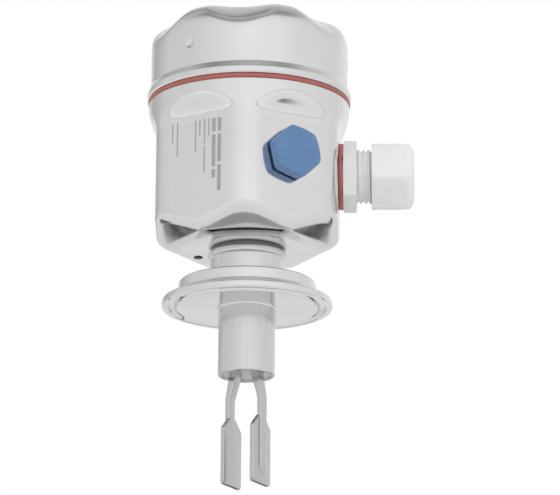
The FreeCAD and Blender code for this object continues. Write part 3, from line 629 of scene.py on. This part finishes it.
def made_finishes():
    """The finishes by their slot in the record, with extra ones for some steels and for rubber greyed as
    painted shade of the neck's groove.
    """
    colours = settings().colours
    labelled = drawn_steel("labelled_steel", colours.steel)
    return {
        "polished_steel": drawn_steel("drawn_steel", colours.steel),
        "labelled_steel": labelled.printed(LABEL_BARS, LABEL_OUT, LABEL_ACROSS, LABEL_REACH, colours.ink),
        "plain_steel": turned_steel("turned_steel", colours.turned),
        "ground_steel": ground_steel("ground_steel", colours.ground),
        "satin_steel": ground_steel("satin_steel", colours.satin),
        "red_rubber": rubber("red_silicone", colours.red, (180, 0.92, 1.06), (500, 0.42, 0.56), 0.5),
        # Grey rubber of the neck seal: its grey paints the shade of the groove under the housing.
        "groove_shade_rubber": rubber("groove_shade_rubber", colours.groove_shade_grey, (300, 0.85, 1.15), (600, 0.35, 0.5), 0.5),
        "black_rubber": rubber("black_rubber", colours.black, (300, 0.8, 1.3), (600, 0.5, 0.65), 0.6),
        "grey_plastic": moulding("grey_moulding", colours.grey, (120, 0.97, 1.02), (700, 0.38, 0.5), 0.5),
        "blue_plastic": moulding("blue_moulding", colours.blue, (150, 0.94, 1.05), (700, 0.34, 0.46), 0.5),
        "dark_plastic": moulding("black_moulding", colours.dark, (200, 0.8, 1.25), (900, 0.45, 0.6), 0.6),
        "green_plastic": clouded("green_moulding", colours.green, (200, 0.92, 1.08), (900, 0.4, 0.5)),
        "white_plastic": clouded("white_moulding", colours.white, (300, 0.96, 1.02), (900, 0.4, 0.5)),
        "brass": clouded("brass", colours.brass, (200, 0.9, 1.06), (900, 0.25, 0.38), metallic=1.0),
        "ceramic": clouded("fired_ceramic", colours.ceramic, (400, 0.93, 1.04), (900, 0.5, 0.65), detail=4),
        "lamp": clouded("lamp_resin", colours.lamp, (400, 0.95, 1.05), (900, 0.12, 0.2)),
    }


FINISHES = {}


def finish(slot):
    """The material of a finish; all are made at the first call."""
    if not FINISHES:
        FINISHES.update(made_finishes())
    return FINISHES[slot].material


# Housing and cover

# Largest corner of the foot and its full pressing, as shares of its reach, and a hole's edge band in radii
FOOT_CORNER_SHARE = 0.4
FOOT_FADE_END = 0.8
HOLE_EDGE = 1.5


def housing_reach(sizes, turn, height, foot):
    """From the axis to the outside of the drawn cup."""
    off_flat = abs((turn + SIXTH / 2) % SIXTH - SIXTH / 2)
    swell = (height - sizes.step_low) * (sizes.radius - sizes.flat) / sizes.step_rise
    step = (sizes.flat + swell) / math.cos(off_flat)
    wall = soft_max(hexagon_reach(sizes.flat, sizes.ridge, turn), step, sizes.step_softness)
    wall = soft_min(wall, sizes.radius, sizes.step_softness)
    corner = min(sizes.foot_corner, foot * FOOT_CORNER_SHARE)
    return soft_min(wall, hexagon_reach(foot, corner, turn - SIXTH / 2), sizes.softness)


def press_housing(bm, sizes, spigot):
    """Presses the flats, the steps and the sloping faces into a round cup."""
    slope = math.tan(sizes.foot_slope)
    for vert in bm.verts:
        reach = math.hypot(vert.co.x, vert.co.y)
        turn = math.atan2(vert.co.y, vert.co.x)
        foot = reach
        if reach > sizes.radius - MERGE:
            foot = sizes.foot + (vert.co.z - sizes.base) / slope
        pressed = housing_reach(sizes, turn, vert.co.z, foot)
        share = min(max((reach - spigot) / (sizes.foot * FOOT_FADE_END - spigot), 0.0), 1.0)
        pressed = reach + (pressed - reach) * share
        vert.co.x *= pressed / reach
        vert.co.y *= pressed / reach


def open_hole(bm, turn, height, radius):
    """Opens a round hole square to a flat."""
    out = Vector((math.cos(turn), math.sin(turn), 0))
    side = Vector((-math.sin(turn), math.cos(turn), 0))

    def off_axis(point):
        return math.hypot(point.dot(side), point.z - height)

    inside = []
    for face in bm.faces:
        middle = face.calc_center_median()
        if middle.dot(out) > 0 and off_axis(middle) < radius:
            inside.append(face)
    bmesh.ops.delete(bm, geom=inside, context="FACES")
    for vert in bm.verts:
        if vert.is_boundary and vert.co.dot(out) > 0 and off_axis(vert.co) < HOLE_EDGE * radius:
            scale = radius / off_axis(vert.co)
            across = vert.co.dot(side)
            vert.co += side * across * (scale - 1)
            vert.co.z = height + (vert.co.z - height) * scale


class LEVELSWITCH_OT_housing(bpy.types.Operator):
    """Drawn cup with six pressed flats, and the threaded collar in its mouth"""

    bl_idname = "level_switch.housing"
    bl_label = "Housing"

    def execute(self, context):
        self.cup(settings().housing, settings().connection.spigot, settings().plug)
        self.collar(settings().housing)
        return {"FINISHED"}

    def cup(self, sizes, spigot, plug):
        """Cup of one sheet, with a hole for each entry."""
        wall_start = sizes.base + (sizes.radius - sizes.foot) * math.tan(sizes.foot_slope)
        bm = turned([
            (spigot, sizes.base), (sizes.foot, sizes.base, sizes.foot_round), (sizes.radius, wall_start),
            (sizes.radius, sizes.top),
        ], pitch=0.0009, steps=DRAWN_STEPS)
        press_housing(bm, sizes, spigot)
        open_hole(bm, 0.0, settings().gland.height, GLAND_HOLE)
        open_hole(bm, plug.turn, settings().gland.height, plug.hole)
        bmesh.ops.recalc_face_normals(bm, faces=bm.faces)
        bmesh.ops.solidify(bm, geom=bm.faces, thickness=sizes.wall)
        piece("housing_cup", bm, "base", finish("labelled_steel"), ["housing_body"],
              sharp=math.radians(50))

    def collar(self, sizes):
        """Ring in the mouth, with the cover's thread."""
        low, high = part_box("thread_ring")
        inner = 0.0326
        root = 0.0340
        crest = 0.0348
        pitch = 0.002
        edge = 0.0006
        foot = sizes.radius - sizes.wall
        bm = turned([
            (inner, low.z), (foot, low.z), (foot, sizes.top), (root, sizes.top), (root, high.z, edge),
            (inner, high.z),
        ], closed=True)
        sunk_root = root - 0.0003
        start = sizes.top + 0.0002
        end = high.z - 0.0004
        added(bm, thread(sunk_root, crest, start, end, pitch, steps=DRAWN_STEPS // 2))
        piece("thread_collar", bm, "base", finish("plain_steel"), ["thread_ring"])


SCOOP_COUNT = 6
# Height of the point on the axis that the scoops pull towards
SCOOP_MIDDLE = 0.090
DIMPLE_COUNT = 3
DIMPLE_PATCH = 0.0030
DIMPLE_SOFTNESS = 0.0004
INNER_CONE_SHARE = 0.75


def scoop_cover(bm, sizes, inset):
    """Cuts six round-bottomed grip faces into the shoulder, by pulling points in towards the middle."""
    middle = Vector((0, 0, SCOOP_MIDDLE))
    slope = sizes.scoop_slope
    lift = Vector((math.sin(slope), 0, math.cos(slope)))
    axis = Vector((sizes.scoop_start, 0, sizes.top)) + lift * sizes.scoop_radius - middle
    radius = sizes.scoop_radius + inset
    high = axis.dot(lift)
    for vert in bm.verts:
        way = vert.co - middle
        reach = way.length
        way.normalize()
        for index in range(SCOOP_COUNT):
            local = Matrix.Rotation(-SIXTH * (index + 0.5) - sizes.turn, 3, "Z") @ way
            rise = local.dot(lift)
            square = rise * rise + local.y * local.y
            inner = rise * high
            spare = inner * inner - square * (high * high - radius * radius)
            if spare <= 0 or inner <= 0:
                continue
            reach = soft_min(reach, (inner - math.sqrt(spare)) / square, sizes.softness)
        vert.co = middle + way * reach


def press_dimples(bm, sizes):
    """Three dimples round the wall, on a finer mesh."""
    for index in range(DIMPLE_COUNT):
        turn = sizes.dimple_turn + index * math.tau / DIMPLE_COUNT
        out = Vector((math.cos(turn), math.sin(turn), 0))
        height = Vector((0, 0, sizes.dimple_height))
        ball = out * (sizes.radius + sizes.dimple - sizes.dimple_depth) + height
        spot = out * sizes.radius + height
        near = [e for e in bm.edges if all((v.co - spot).length < DIMPLE_PATCH for v in e.verts)]
        bmesh.ops.subdivide_edges(bm, edges=near, cuts=3, use_grid_fill=True)
        for vert in bm.verts:
            away = vert.co - ball
            on_wall = Vector((vert.co.x, vert.co.y, 0)).length > sizes.bore
            if on_wall and away.length < sizes.dimple + DIMPLE_SOFTNESS:
                sunk = soft_max(away.length, sizes.dimple, DIMPLE_SOFTNESS)
                vert.co = ball + away.normalized() * sunk


class LEVELSWITCH_OT_cover(bpy.types.Operator):
    """Screw cover with a rolled rim, six sloping grip faces and three dimples"""

    bl_idname = "level_switch.cover"
    bl_label = "Cover"

    def execute(self, context):
        sizes = settings().cover
        lip = 0.0006
        rim_round = 0.001
        wall_round = 0.0008
        bm = turned([
            (sizes.rim - lip, sizes.low), (sizes.rim, sizes.low + lip), (sizes.rim, sizes.rim_top, rim_round),
            (sizes.radius, sizes.wall_low, wall_round), (sizes.radius, sizes.top, sizes.shoulder),
            (0, sizes.top),
        ], pitch=0.0008, steps=DRAWN_STEPS)
        scoop_cover(bm, sizes, 0.0)
        press_dimples(bm, sizes)
        cone = sizes.shoulder * INNER_CONE_SHARE
        ceiling = sizes.top - sizes.wall
        inner = turned([
            (sizes.bore, sizes.low), (sizes.bore, ceiling - cone), (sizes.bore - cone, ceiling), (0, ceiling),
        ], pitch=0.003, steps=DRAWN_STEPS)
        scoop_cover(inner, sizes, sizes.wall)
        added(bm, inner)
        bmesh.ops.bridge_loops(bm, edges=[edge for edge in bm.edges if edge.is_boundary])
        bmesh.ops.recalc_face_normals(bm, faces=bm.faces)
        piece("screw_cover", bm, "cover", finish("polished_steel"), ["cover"],
              sharp=SHARP_PRESSED)
        return {"FINISHED"}


# Seals


def ring(bore, radius, low, high, rounding, steps=ROUND_STEPS):
    """A ring with two rounded outer edges."""
    return turned([
        (bore, low), (radius, low, rounding), (radius, high, rounding), (bore, high),
    ], closed=True, steps=steps)


class LEVELSWITCH_OT_seals(bpy.types.Operator):
    """Red seals of the cover and the gland, dark seals of the plug and the neck"""

    bl_idname = "level_switch.seals"
    bl_label = "Seals"

    def execute(self, context):
        gland = settings().gland
        plug = settings().plug
        red = finish("red_rubber")
        cover_edge = 0.0012
        washer_edge = 0.0004
        thin_edge = 0.0002
        plug_inset = 0.0004
        low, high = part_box("cover_seal")
        bm = ring(settings().cover.bore, high.x, low.z, high.z, cover_edge, steps=DRAWN_STEPS)
        piece("cover_seal_ring", bm, "seal_ring", red, ["cover_seal"])
        bm = ring(GLAND_HOLE, gland.washer, gland.start, gland.hexagon_start, washer_edge)
        piece("gland_washer_ring", to_entry(bm), "base", red, ["gland_washer"])
        bm = ring(plug.hole, plug.flat - plug_inset, gland.start, gland.start + plug.seal, thin_edge)
        piece("plug_seal_ring", to_entry(bm, plug.turn), "plug_ring", finish("black_rubber"),
              ["plug_seal"])
        low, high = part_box("neck_seal")
        bm = ring(settings().connection.spigot, high.x, low.z, high.z, thin_edge)
        # The neck seal takes the grey rubber that paints the shade of the groove under the housing.
        piece("neck_seal_ring", bm, "base", finish("groove_shade_rubber"), ["neck_seal"])
        return {"FINISHED"}


# Connection and fork


class LEVELSWITCH_OT_connection(bpy.types.Operator):
    """Clamp ferrule with its seal groove, welded sensor tube and neck"""

    bl_idname = "level_switch.connection"
    bl_label = "Connection"

    def execute(self, context):
        sizes = settings().connection
        self.ferrule(sizes)
        self.barrel(sizes, settings().fork)
        self.neck(sizes)
        return {"FINISHED"}

    def ferrule(self, sizes):
        """Rim with a groove and a sloping back, on a hub, with the weld bead at the tube."""
        back_slope = math.radians(20)
        edge = 0.0008
        hub_foot = 0.0012
        hub_edge = 0.0009
        groove_edge = 0.0003
        groove_round = 0.0007
        groove_slope = 0.0006
        bead_edge = 0.0003
        bead_round = 0.0004
        bead_foot = sizes.tube + 0.0002
        bead = sizes.tube + sizes.bead
        cone_top = sizes.edge + (sizes.rim - sizes.hub) * math.tan(back_slope)
        groove_in = sizes.groove - sizes.groove_width / 2
        groove_out = sizes.groove + sizes.groove_width / 2
        bm = turned([
            (sizes.fit, -sizes.bead), (bead_foot, -sizes.bead, bead_edge),
            (bead, -sizes.bead / 2, bead_round), (bead, 0),
            (groove_in, 0, groove_edge), (groove_in + groove_slope, sizes.groove_depth, groove_round),
            (groove_out - groove_slope, sizes.groove_depth, groove_round), (groove_out, 0, groove_edge),
            (sizes.rim, 0, edge), (sizes.rim, sizes.edge, edge), (sizes.hub, cone_top, hub_foot),
            (sizes.hub, sizes.hub_top, hub_edge), (sizes.fit, sizes.hub_top),
        ], closed=True, steps=DRAWN_STEPS)
        piece("clamp_rim", bm, "base", finish("polished_steel"), ["clamp_ferrule"])

    def barrel(self, sizes, fork):
        """Sensor tube, which holds the fork's diaphragm."""
        bore = 0.00865
        edge = 0.0005
        bm = turned([
            (fork.diaphragm, sizes.tube_end), (sizes.tube, sizes.tube_end, edge), (sizes.tube, -sizes.bead),
            (sizes.fit, -sizes.bead), (sizes.fit, sizes.hub_top), (bore, sizes.hub_top), (bore, fork.back),
            (fork.diaphragm, fork.back),
        ], closed=True)
        piece("sensor_barrel", bm, "base", finish("ground_steel"), ["sensor_tube"])

    def neck(self, sizes):
        """Neck with a rounded shoulder under the housing."""
        bore = 0.009
        edge = 0.001
        slope_foot = 0.0008
        slope_round = 0.0012
        spigot_top = high_of("neck_adapter").z
        slope_end = sizes.shoulder_low + sizes.shoulder - sizes.neck
        bm = turned([
            (bore, sizes.hub_top), (sizes.neck, sizes.hub_top), (sizes.neck, sizes.shoulder_low, slope_foot),
            (sizes.shoulder, slope_end, slope_round), (sizes.shoulder, sizes.shoulder_high, edge),
            (sizes.spigot, sizes.shoulder_high), (sizes.spigot, spigot_top), (bore, spigot_top),
        ], closed=True)
        piece("neck_collar", bm, "base", finish("plain_steel"), ["neck_adapter"])


def plate(bm, outline, way, thick):
    """A plate from a rounded outline of (point, rounding), pushed out by its thickness."""
    points = [Vector(point) for point, _ in outline]
    verts = [bm.verts.new(point) for point in points]
    for pair in zip(verts, verts[1:] + verts[:1]):
        bm.edges.new(pair)
    for index, (_, rounding) in enumerate(outline):
        if rounding:
            round_corner(bm, verts, points, index, rounding, 3)
    made = bmesh.ops.contextual_create(bm, geom=list(bm.edges))["faces"]
    pushed = bmesh.ops.extrude_face_region(bm, geom=made)["geom"]
    moved = [item for item in pushed if isinstance(item, bmesh.types.BMVert)]
    bmesh.ops.translate(bm, verts=moved, vec=Vector(way) * thick)
    bmesh.ops.recalc_face_normals(bm, faces=bm.faces)


def soften(bm, offset, segments=3, over=math.radians(30)):
    """Rounds the edges of a plate."""
    edges = [edge for edge in bm.edges if edge.is_manifold and edge.calc_face_angle(0) > over]
    bmesh.ops.bevel(
        bm, geom=edges, offset=offset, offset_type="OFFSET", segments=segments, profile=0.5, affect="EDGES",
        material=-1, clamp_overlap=True,
    )


class LEVELSWITCH_OT_fork(bpy.types.Operator):
    """Diaphragm with two tines, each a bowed stem that runs on as a rib down a flat blade"""

    bl_idname = "level_switch.fork"
    bl_label = "Fork"

    def execute(self, context):
        sizes = settings().fork
        tine = self.blade(sizes)
        added(tine, self.stem(sizes))
        mesh = bpy.data.meshes.new("tine")
        tine.to_mesh(mesh)
        tine.free()
        bm = turned([
            (0, sizes.back), (sizes.diaphragm, sizes.back), (sizes.diaphragm, sizes.face), (0, sizes.face),
        ], steps=ROUND_STEPS // 2)
        for turn in (sizes.turn, sizes.turn + math.pi):
            tine = bmesh.new()
            tine.from_mesh(mesh)
            bmesh.ops.transform(tine, matrix=Matrix.Rotation(turn, 4, "Z"), verts=tine.verts)
            added(bm, tine)
        bpy.data.meshes.remove(mesh)
        piece("fork", bm, "base", finish("satin_steel"), ["vibrating_fork"])
        return {"FINISHED"}

    def blade(self, sizes):
        """Flat blade with sloping shoulders."""
        wide = sizes.width / 2
        narrow = sizes.stem_width / 2
        corner = 0.0012
        tip_corner = 0.0013
        edge = 0.0003
        bm = bmesh.new()
        plate(bm, [
            ((sizes.inside, -narrow, sizes.shoulder), 0), ((sizes.inside, narrow, sizes.shoulder), 0),
            ((sizes.inside, wide, sizes.top), corner), ((sizes.inside, wide, sizes.tip), tip_corner),
            ((sizes.inside, -wide, sizes.tip), tip_corner), ((sizes.inside, -wide, sizes.top), corner),
        ], (1, 0, 0), sizes.thick)
        soften(bm, edge)
        return bm

    def stem(self, sizes):
        """Bowed stem from the diaphragm, which runs out as a rib on the blade."""
        side = -sizes.stem_width / 2
        outside = sizes.inside + sizes.thick
        rib = sizes.inside + sizes.stem_thick
        rib_corner = 0.0015
        edge = 0.0008
        sunk = sizes.inside + 0.0003
        root = sizes.face + 0.001
        bm = bmesh.new()
        plate(bm, [
            ((sizes.root_inside, side, root), 0), ((sunk, side, sizes.bend), sizes.bow),
            ((sunk, side, sizes.rib_end), 0), ((outside, side, sizes.rib_end), 0),
            ((rib, side, sizes.rib_end + sizes.rib_runout), rib_corner), ((rib, side, sizes.bend), sizes.bow),
            ((sizes.root_inside + sizes.root_thick, side, root), 0),
        ], (0, 1, 0), sizes.stem_width)
        soften(bm, edge, segments=5)
        return bm


# Gland and plug


class LEVELSWITCH_OT_gland(bpy.types.Operator):
    """Cable gland: threaded body with a hexagon, rubber sleeve and domed cap nut"""

    bl_idname = "level_switch.gland"
    bl_label = "Gland"

    def execute(self, context):
        sizes = settings().gland
        seat = 0.0088
        seat_start = low_of("gland_seal").x
        seat_edge = 0.0004
        mouth_round = 0.0006
        self.body(sizes, seat, seat_start)
        bm = turned([
            (sizes.cable, seat_start), (seat, seat_start), (seat, sizes.sleeve_end, seat_edge),
            (sizes.cable, sizes.sleeve_end, mouth_round),
        ], closed=True)
        piece("gland_rubber", to_entry(bm), "base", finish("black_rubber"), ["gland_seal"])
        self.nut(sizes)
        return {"FINISHED"}

    def body(self, sizes, seat, seat_start):
        """Shank in the housing, hexagon and threaded sleeve."""
        end = low_of("gland_body").x
        bore = 0.0068
        shank = 0.0098
        shank_edge = 0.0006
        back_edge = 0.0004
        front_edge = 0.0007
        sleeve_edge = 0.0005
        corner = 0.0007
        core = sizes.root + 0.0002
        across = sizes.hexagon / math.cos(SIXTH / 2)
        bm = turned([
            (bore, end), (shank, end, shank_edge), (shank, sizes.hexagon_start),
            (across, sizes.hexagon_start, back_edge), (across, sizes.hexagon_end, front_edge),
            (core, sizes.hexagon_end), (core, sizes.sleeve_end, sleeve_edge), (seat, sizes.sleeve_end),
            (seat, seat_start), (bore, seat_start),
        ], pitch=0.0008, closed=True)
        crowd_corners(bm, sizes.hexagon_turn)
        press_hexagon(bm, sizes.hexagon, corner, sizes.hexagon_turn, softness=0.0003)
        thread_start = sizes.hexagon_end - 0.001
        added(bm, thread(sizes.root, sizes.crest, thread_start, sizes.sleeve_end, sizes.pitch))
        piece("gland_barrel", to_entry(bm), "base", finish("grey_plastic"), ["gland_body"],
              sharp=SHARP_PRESSED)

    def nut(self, sizes):
        """Domed cap nut with a rounded hexagon."""
        inside = 0.01045
        ceiling = high_of("gland_slip_ring").x
        edge = 0.0006
        lip = 0.0008
        lip_round = 0.0004
        across = sizes.nut / math.cos(SIXTH / 2)
        bm = turned([
            (inside, sizes.nut_start), (across, sizes.nut_start, edge),
            (across, sizes.nut_end, sizes.nut_round), (sizes.mouth + lip, sizes.nut_end, lip_round),
            (sizes.mouth, sizes.nut_end - lip, lip_round), (sizes.mouth, ceiling), (inside, ceiling),
        ], pitch=0.0007, closed=True)
        crowd_corners(bm, sizes.nut_turn)
        press_hexagon(bm, sizes.nut, sizes.nut_corner, sizes.nut_turn, softness=0.0012)
        piece("gland_cap", to_entry(bm), "cap_nut", finish("grey_plastic"), ["gland_nut"],
              sharp=SHARP_PRESSED)


class LEVELSWITCH_OT_plug(bpy.types.Operator):
    """Blanking plug with a hexagon head and a threaded shank"""

    bl_idname = "level_switch.plug"
    bl_label = "Plug"

    def execute(self, context):
        sizes = settings().plug
        flat = settings().gland.start
        low = flat + sizes.seal
        high = low + sizes.thick
        across = sizes.flat / math.cos(SIXTH / 2)
        hollow = sizes.shank - 0.0022
        core = sizes.shank - 0.0007
        crest = sizes.shank - 0.0001
        end = flat - sizes.shank_length
        edge = 0.0004
        bevel_low = 0.0008
        bevel_high = 0.0010
        gap = 0.0002
        bm = turned([
            (0, low), (hollow, low), (hollow, end), (core, end, edge), (core, low), (across, low, edge),
            (across, high - sizes.bevel, bevel_low), (across - sizes.bevel_reach, high, bevel_high),
            (0, high),
        ], pitch=0.0008)
        turn = SIXTH / 2 + sizes.head_turn
        crowd_corners(bm, turn)
        press_hexagon(bm, sizes.flat, sizes.corner, turn, softness=0.0003)
        added(bm, thread(core - gap, crest, end + gap, low - gap, sizes.pitch))
        piece("blanking_cap", to_entry(bm, sizes.turn), "plug", finish("blue_plastic"),
              ["blind_plug"], sharp=SHARP_PRESSED)
        return {"FINISHED"}


# Solids shown as they are


class LEVELSWITCH_OT_insert(bpy.types.Operator):
    """Finishes of the solids that are shown as they are: drive, insert, small rings and vent"""

    bl_idname = "level_switch.insert"
    bl_label = "Insert"

    def execute(self, context):
        slots = {row["node"]: row["material_slot"] for row in frame["record"]["subparts"]}
        for name, thing in frame["nodes"].items():
            if name not in slots:
                raise RuntimeError(f"{name} has no finish")
            thing.data.materials.clear()
            thing.data.materials.append(finish(slots[name]))
        return {"FINISHED"}


# Stage


FLOOR_HALF = 8.0
FLOOR_GAP = 0.0002
CARD_LIFT = 0.002
CARD_LEVEL = 0.012
# Each card by its name, its place on the floor, its half length and half width, and its turn in degrees
FLOOR_CARDS = (
    ("left_card", -0.1135, 0.1085, 0.028, 0.0090, -23),
    ("left_far_card", -0.183, 0.122, 0.066, 0.015, -26),
    ("right_card", 0.0985, 0.0925, 0.028, 0.0085, 18),
    ("right_far_card", 0.200, 0.1105, 0.10, 0.012, 8),
    ("step_card", 0.217, -0.156, 0.026, 0.010, -57),
    ("back_card", 0.0, 0.075, 0.045, 0.045, 0),
)
KEY_PLACE = (0.8, -1.4, 1.1)
KEY_WIDTH = 0.7
FILL_PLACE = (-1.3, -1.0, 0.45)
FILL_WIDTH = 0.9
# Levels of the room that steel mirrors, as (place, level): round from the back, and from the horizon up
ROOM_ROUND = (
    (0.0, 0.88), (0.06, 0.72), (0.10, 0.48), (0.15, 0.60), (0.20, 0.74), (0.30, 0.78), (0.37, 0.85),
    (0.5, 1.0), (0.60, 0.97), (0.67, 0.87), (0.84, 0.81), (0.92, 0.90), (1.0, 0.88),
)
ROOM_UP = ((0.0, 1.0), (0.27, 1.0), (0.6, 0.9), (0.82, 0.76), (0.95, 0.6), (1.0, 0.55))
# Shares of a dark hood at the front of that room, as (place, share), in the same two ways
HOOD_ROUND = ((0.0, 0.0), (0.20, 0.0), (0.30, 1.0), (0.70, 1.0), (0.80, 0.0), (1.0, 0.0))
HOOD_UP = ((0.0, 0.0), (0.68, 0.0), (0.80, 0.44), (0.90, 0.44), (0.96, 0.1), (1.0, 0.0))
SENSOR_WIDTH = 36.0
PICTURE_SHIFT = (0.0579, 0.0183)
CLIP = (0.05, 30.0)


def stage_mesh(name, bm, material):
    """A thing of the studio."""
    thing = shown(name, bm, material)
    return thing


def floor_finish(colour):
    """Pale floor that lets a camera under it look up through it."""
    made = Finish("pale_floor", colour, roughness=0.7)
    made.tone(made.noise(3, 2), 0.985, 1.01)
    underside = made.wired("ShaderNodeNewGeometry", {})["Backfacing"]
    return made.covered(underside, made.wired("ShaderNodeBsdfTransparent", {})["BSDF"]).material


def card_finish():
    """Dark matt card."""
    made = Finish("dark_card", (CARD_LEVEL, CARD_LEVEL, CARD_LEVEL), roughness=0.9)
    return made.tone(made.noise(8, 2), 0.9, 1.1).material


def only_reflected(thing):
    """Seen in polished steel only."""
    thing.visible_camera = False
    thing.visible_diffuse = False
    thing.visible_shadow = False
    thing.visible_transmission = False


def lamp(name, place, target, width, watts):
    """A round lamp that steel doesn't mirror."""
    light = bpy.data.lights.new(name, "AREA")
    light.shape = "DISK"
    light.size = width
    light.energy = watts
    thing = bpy.data.objects.new(name, light)
    thing.location = place
    thing.rotation_euler = (Vector(target) - Vector(place)).to_track_quat("-Z", "Y").to_euler()
    thing.visible_glossy = False
    bpy.context.scene.collection.objects.link(thing)


def graded(tree, source, stops):
    """A level that changes along a row of (place, level) stops."""
    ramp = tree.nodes.new("ShaderNodeValToRGB")
    for place, _ in stops[1:-1]:
        ramp.color_ramp.elements.new(place)
    for element, (_, level) in zip(ramp.color_ramp.elements, stops):
        element.color = (level, level, level, 1)
    tree.links.new(source, ramp.inputs["Fac"])
    return ramp.outputs["Color"]


def blended(tree, share, start, end):
    """A level between two others, by a share of 0 to 1."""
    return wired(tree, "ShaderNodeMapRange", {"Value": share, "To Min": start, "To Max": end})["Result"]


class LEVELSWITCH_OT_stage(bpy.types.Operator):
    """Floor, dark cards, lights, white surround and the camera"""

    bl_idname = "level_switch.stage"
    bl_label = "Stage"

    def execute(self, context):
        sizes = settings().studio
        ground = CAD_BOX[0].z - FLOOR_GAP
        bm = bmesh.new()
        bmesh.ops.create_grid(bm, x_segments=8, y_segments=8, size=FLOOR_HALF)
        bmesh.ops.translate(bm, verts=bm.verts, vec=(0, 0, ground))
        stage_mesh("floor", bm, floor_finish(sizes.floor))
        card = card_finish()
        for name, x, y, long, wide, turn in FLOOR_CARDS:
            bm = bmesh.new()
            bmesh.ops.create_circle(bm, cap_ends=True, segments=48, radius=1.0)
            lay = Matrix.Translation((x, y, ground + CARD_LIFT)) @ Matrix.Rotation(math.radians(turn), 4, "Z")
            bmesh.ops.transform(bm, matrix=lay @ Matrix.Diagonal((long, wide, 1, 1)), verts=bm.verts)
            only_reflected(stage_mesh(name, bm, card))
        middle = (0, 0, sizes.target)
        lamp("key", KEY_PLACE, middle, KEY_WIDTH, sizes.key)
        lamp("fill", FILL_PLACE, middle, FILL_WIDTH, sizes.fill)
        self.surround(sizes)
        self.camera(sizes)
        context.scene.view_settings.view_transform = "Standard"
        return {"FINISHED"}

    def surround(self, sizes):
        """White to the camera, a graded room in polished steel, and even light otherwise."""
        world = bpy.data.worlds.new("white_surround")
        world.use_nodes = True
        tree = world.node_tree
        back = tree.nodes["Background"]
        back.inputs["Color"].default_value = (1, 1, 1, 1)
        place = wired(tree, "ShaderNodeTexCoord", {})["Generated"]
        way = wired(tree, "ShaderNodeSeparateXYZ", {"Vector": place})
        turn = worked(tree, "ARCTAN2", way["X"], worked(tree, "MULTIPLY", way["Y"], -1.0))
        about = wired(tree, "ShaderNodeMapRange", {
            "Value": turn, "From Min": -math.pi, "From Max": math.pi,
        })["Result"]
        room = worked(tree, "MULTIPLY", graded(tree, about, ROOM_ROUND), graded(tree, way["Z"], ROOM_UP))
        hood = worked(tree, "MULTIPLY", graded(tree, about, HOOD_ROUND), graded(tree, way["Z"], HOOD_UP))
        path = wired(tree, "ShaderNodeLightPath", {})
        seen = worked(tree, "MAXIMUM", path["Is Camera Ray"], path["Is Transmission Ray"])
        mirrored = blended(tree, path["Is Glossy Ray"], sizes.sky, blended(tree, hood, room, 0.0))
        tree.links.new(blended(tree, seen, mirrored, 1.0), back.inputs["Strength"])
        bpy.context.scene.world = world

    def camera(self, sizes):
        """Long lens from the front, a little below the object."""
        view = bpy.data.cameras.new("camera")
        view.sensor_fit = "HORIZONTAL"
        view.sensor_width = SENSOR_WIDTH
        view.lens = sizes.lens * 1000
        view.shift_x, view.shift_y = PICTURE_SHIFT
        view.clip_start, view.clip_end = CLIP
        flat = sizes.distance * math.cos(sizes.rise)
        away = Vector((flat * math.sin(sizes.turn), -flat * math.cos(sizes.turn), 0))
        away.z = sizes.distance * math.sin(sizes.rise)
        thing = bpy.data.objects.new("camera", view)
        thing.location = Vector((0, 0, sizes.target)) + away
        aim = (-away).to_track_quat("-Z", "Y").to_matrix() @ Matrix.Rotation(sizes.roll, 3, "Z")
        thing.rotation_euler = aim.to_euler()
        bpy.context.scene.collection.objects.link(thing)
        bpy.context.scene.camera = thing


# Add-on

OPERATORS = (
    LEVELSWITCH_OT_insert, LEVELSWITCH_OT_housing, LEVELSWITCH_OT_cover, LEVELSWITCH_OT_seals,
    LEVELSWITCH_OT_connection, LEVELSWITCH_OT_fork, LEVELSWITCH_OT_gland, LEVELSWITCH_OT_plug,
    LEVELSWITCH_OT_stage,
)


class LEVELSWITCH_PT_panel(bpy.types.Panel):
    """Sizes, colours and pieces of the level switch"""

    bl_idname = "LEVELSWITCH_PT_panel"
    bl_label = "Level switch"
    bl_space_type = "VIEW_3D"
    bl_region_type = "UI"
    bl_category = "Level switch"

    def draw(self, context):
        for operator in OPERATORS:
            self.layout.operator(operator.bl_idname)
        for name in ("housing", "cover", "connection", "fork", "gland", "plug", "colours", "studio"):
            box = self.layout.box()
            box.label(text=name.capitalize())
            values = getattr(context.scene.level_switch, name)
            for key in values.__annotations__:
                box.prop(values, key)


CLASSES = (
    HousingSizes, CoverSizes, ConnectionSizes, ForkSizes, GlandSizes, PlugSizes, FinishColours, StudioSizes,
    LevelSwitchSettings, *OPERATORS, LEVELSWITCH_PT_panel,
)


def register():
    """Adds the classes and the scene's settings."""
    for cls in CLASSES:
        bpy.utils.register_class(cls)
    bpy.types.Scene.level_switch = bpy.props.PointerProperty(
        type=LevelSwitchSettings, name="Level switch", description="Sizes and colours of the level switch")


def unregister():
    """Takes them away again."""
    del bpy.types.Scene.level_switch
    for cls in reversed(CLASSES):
        bpy.utils.unregister_class(cls)


def main():
    """Builds every piece and the stage."""
    register()
    for operator in OPERATORS:
        family, name = operator.bl_idname.split(".")
        getattr(getattr(bpy.ops, family), name)()


if __name__ == "__main__":
    main()
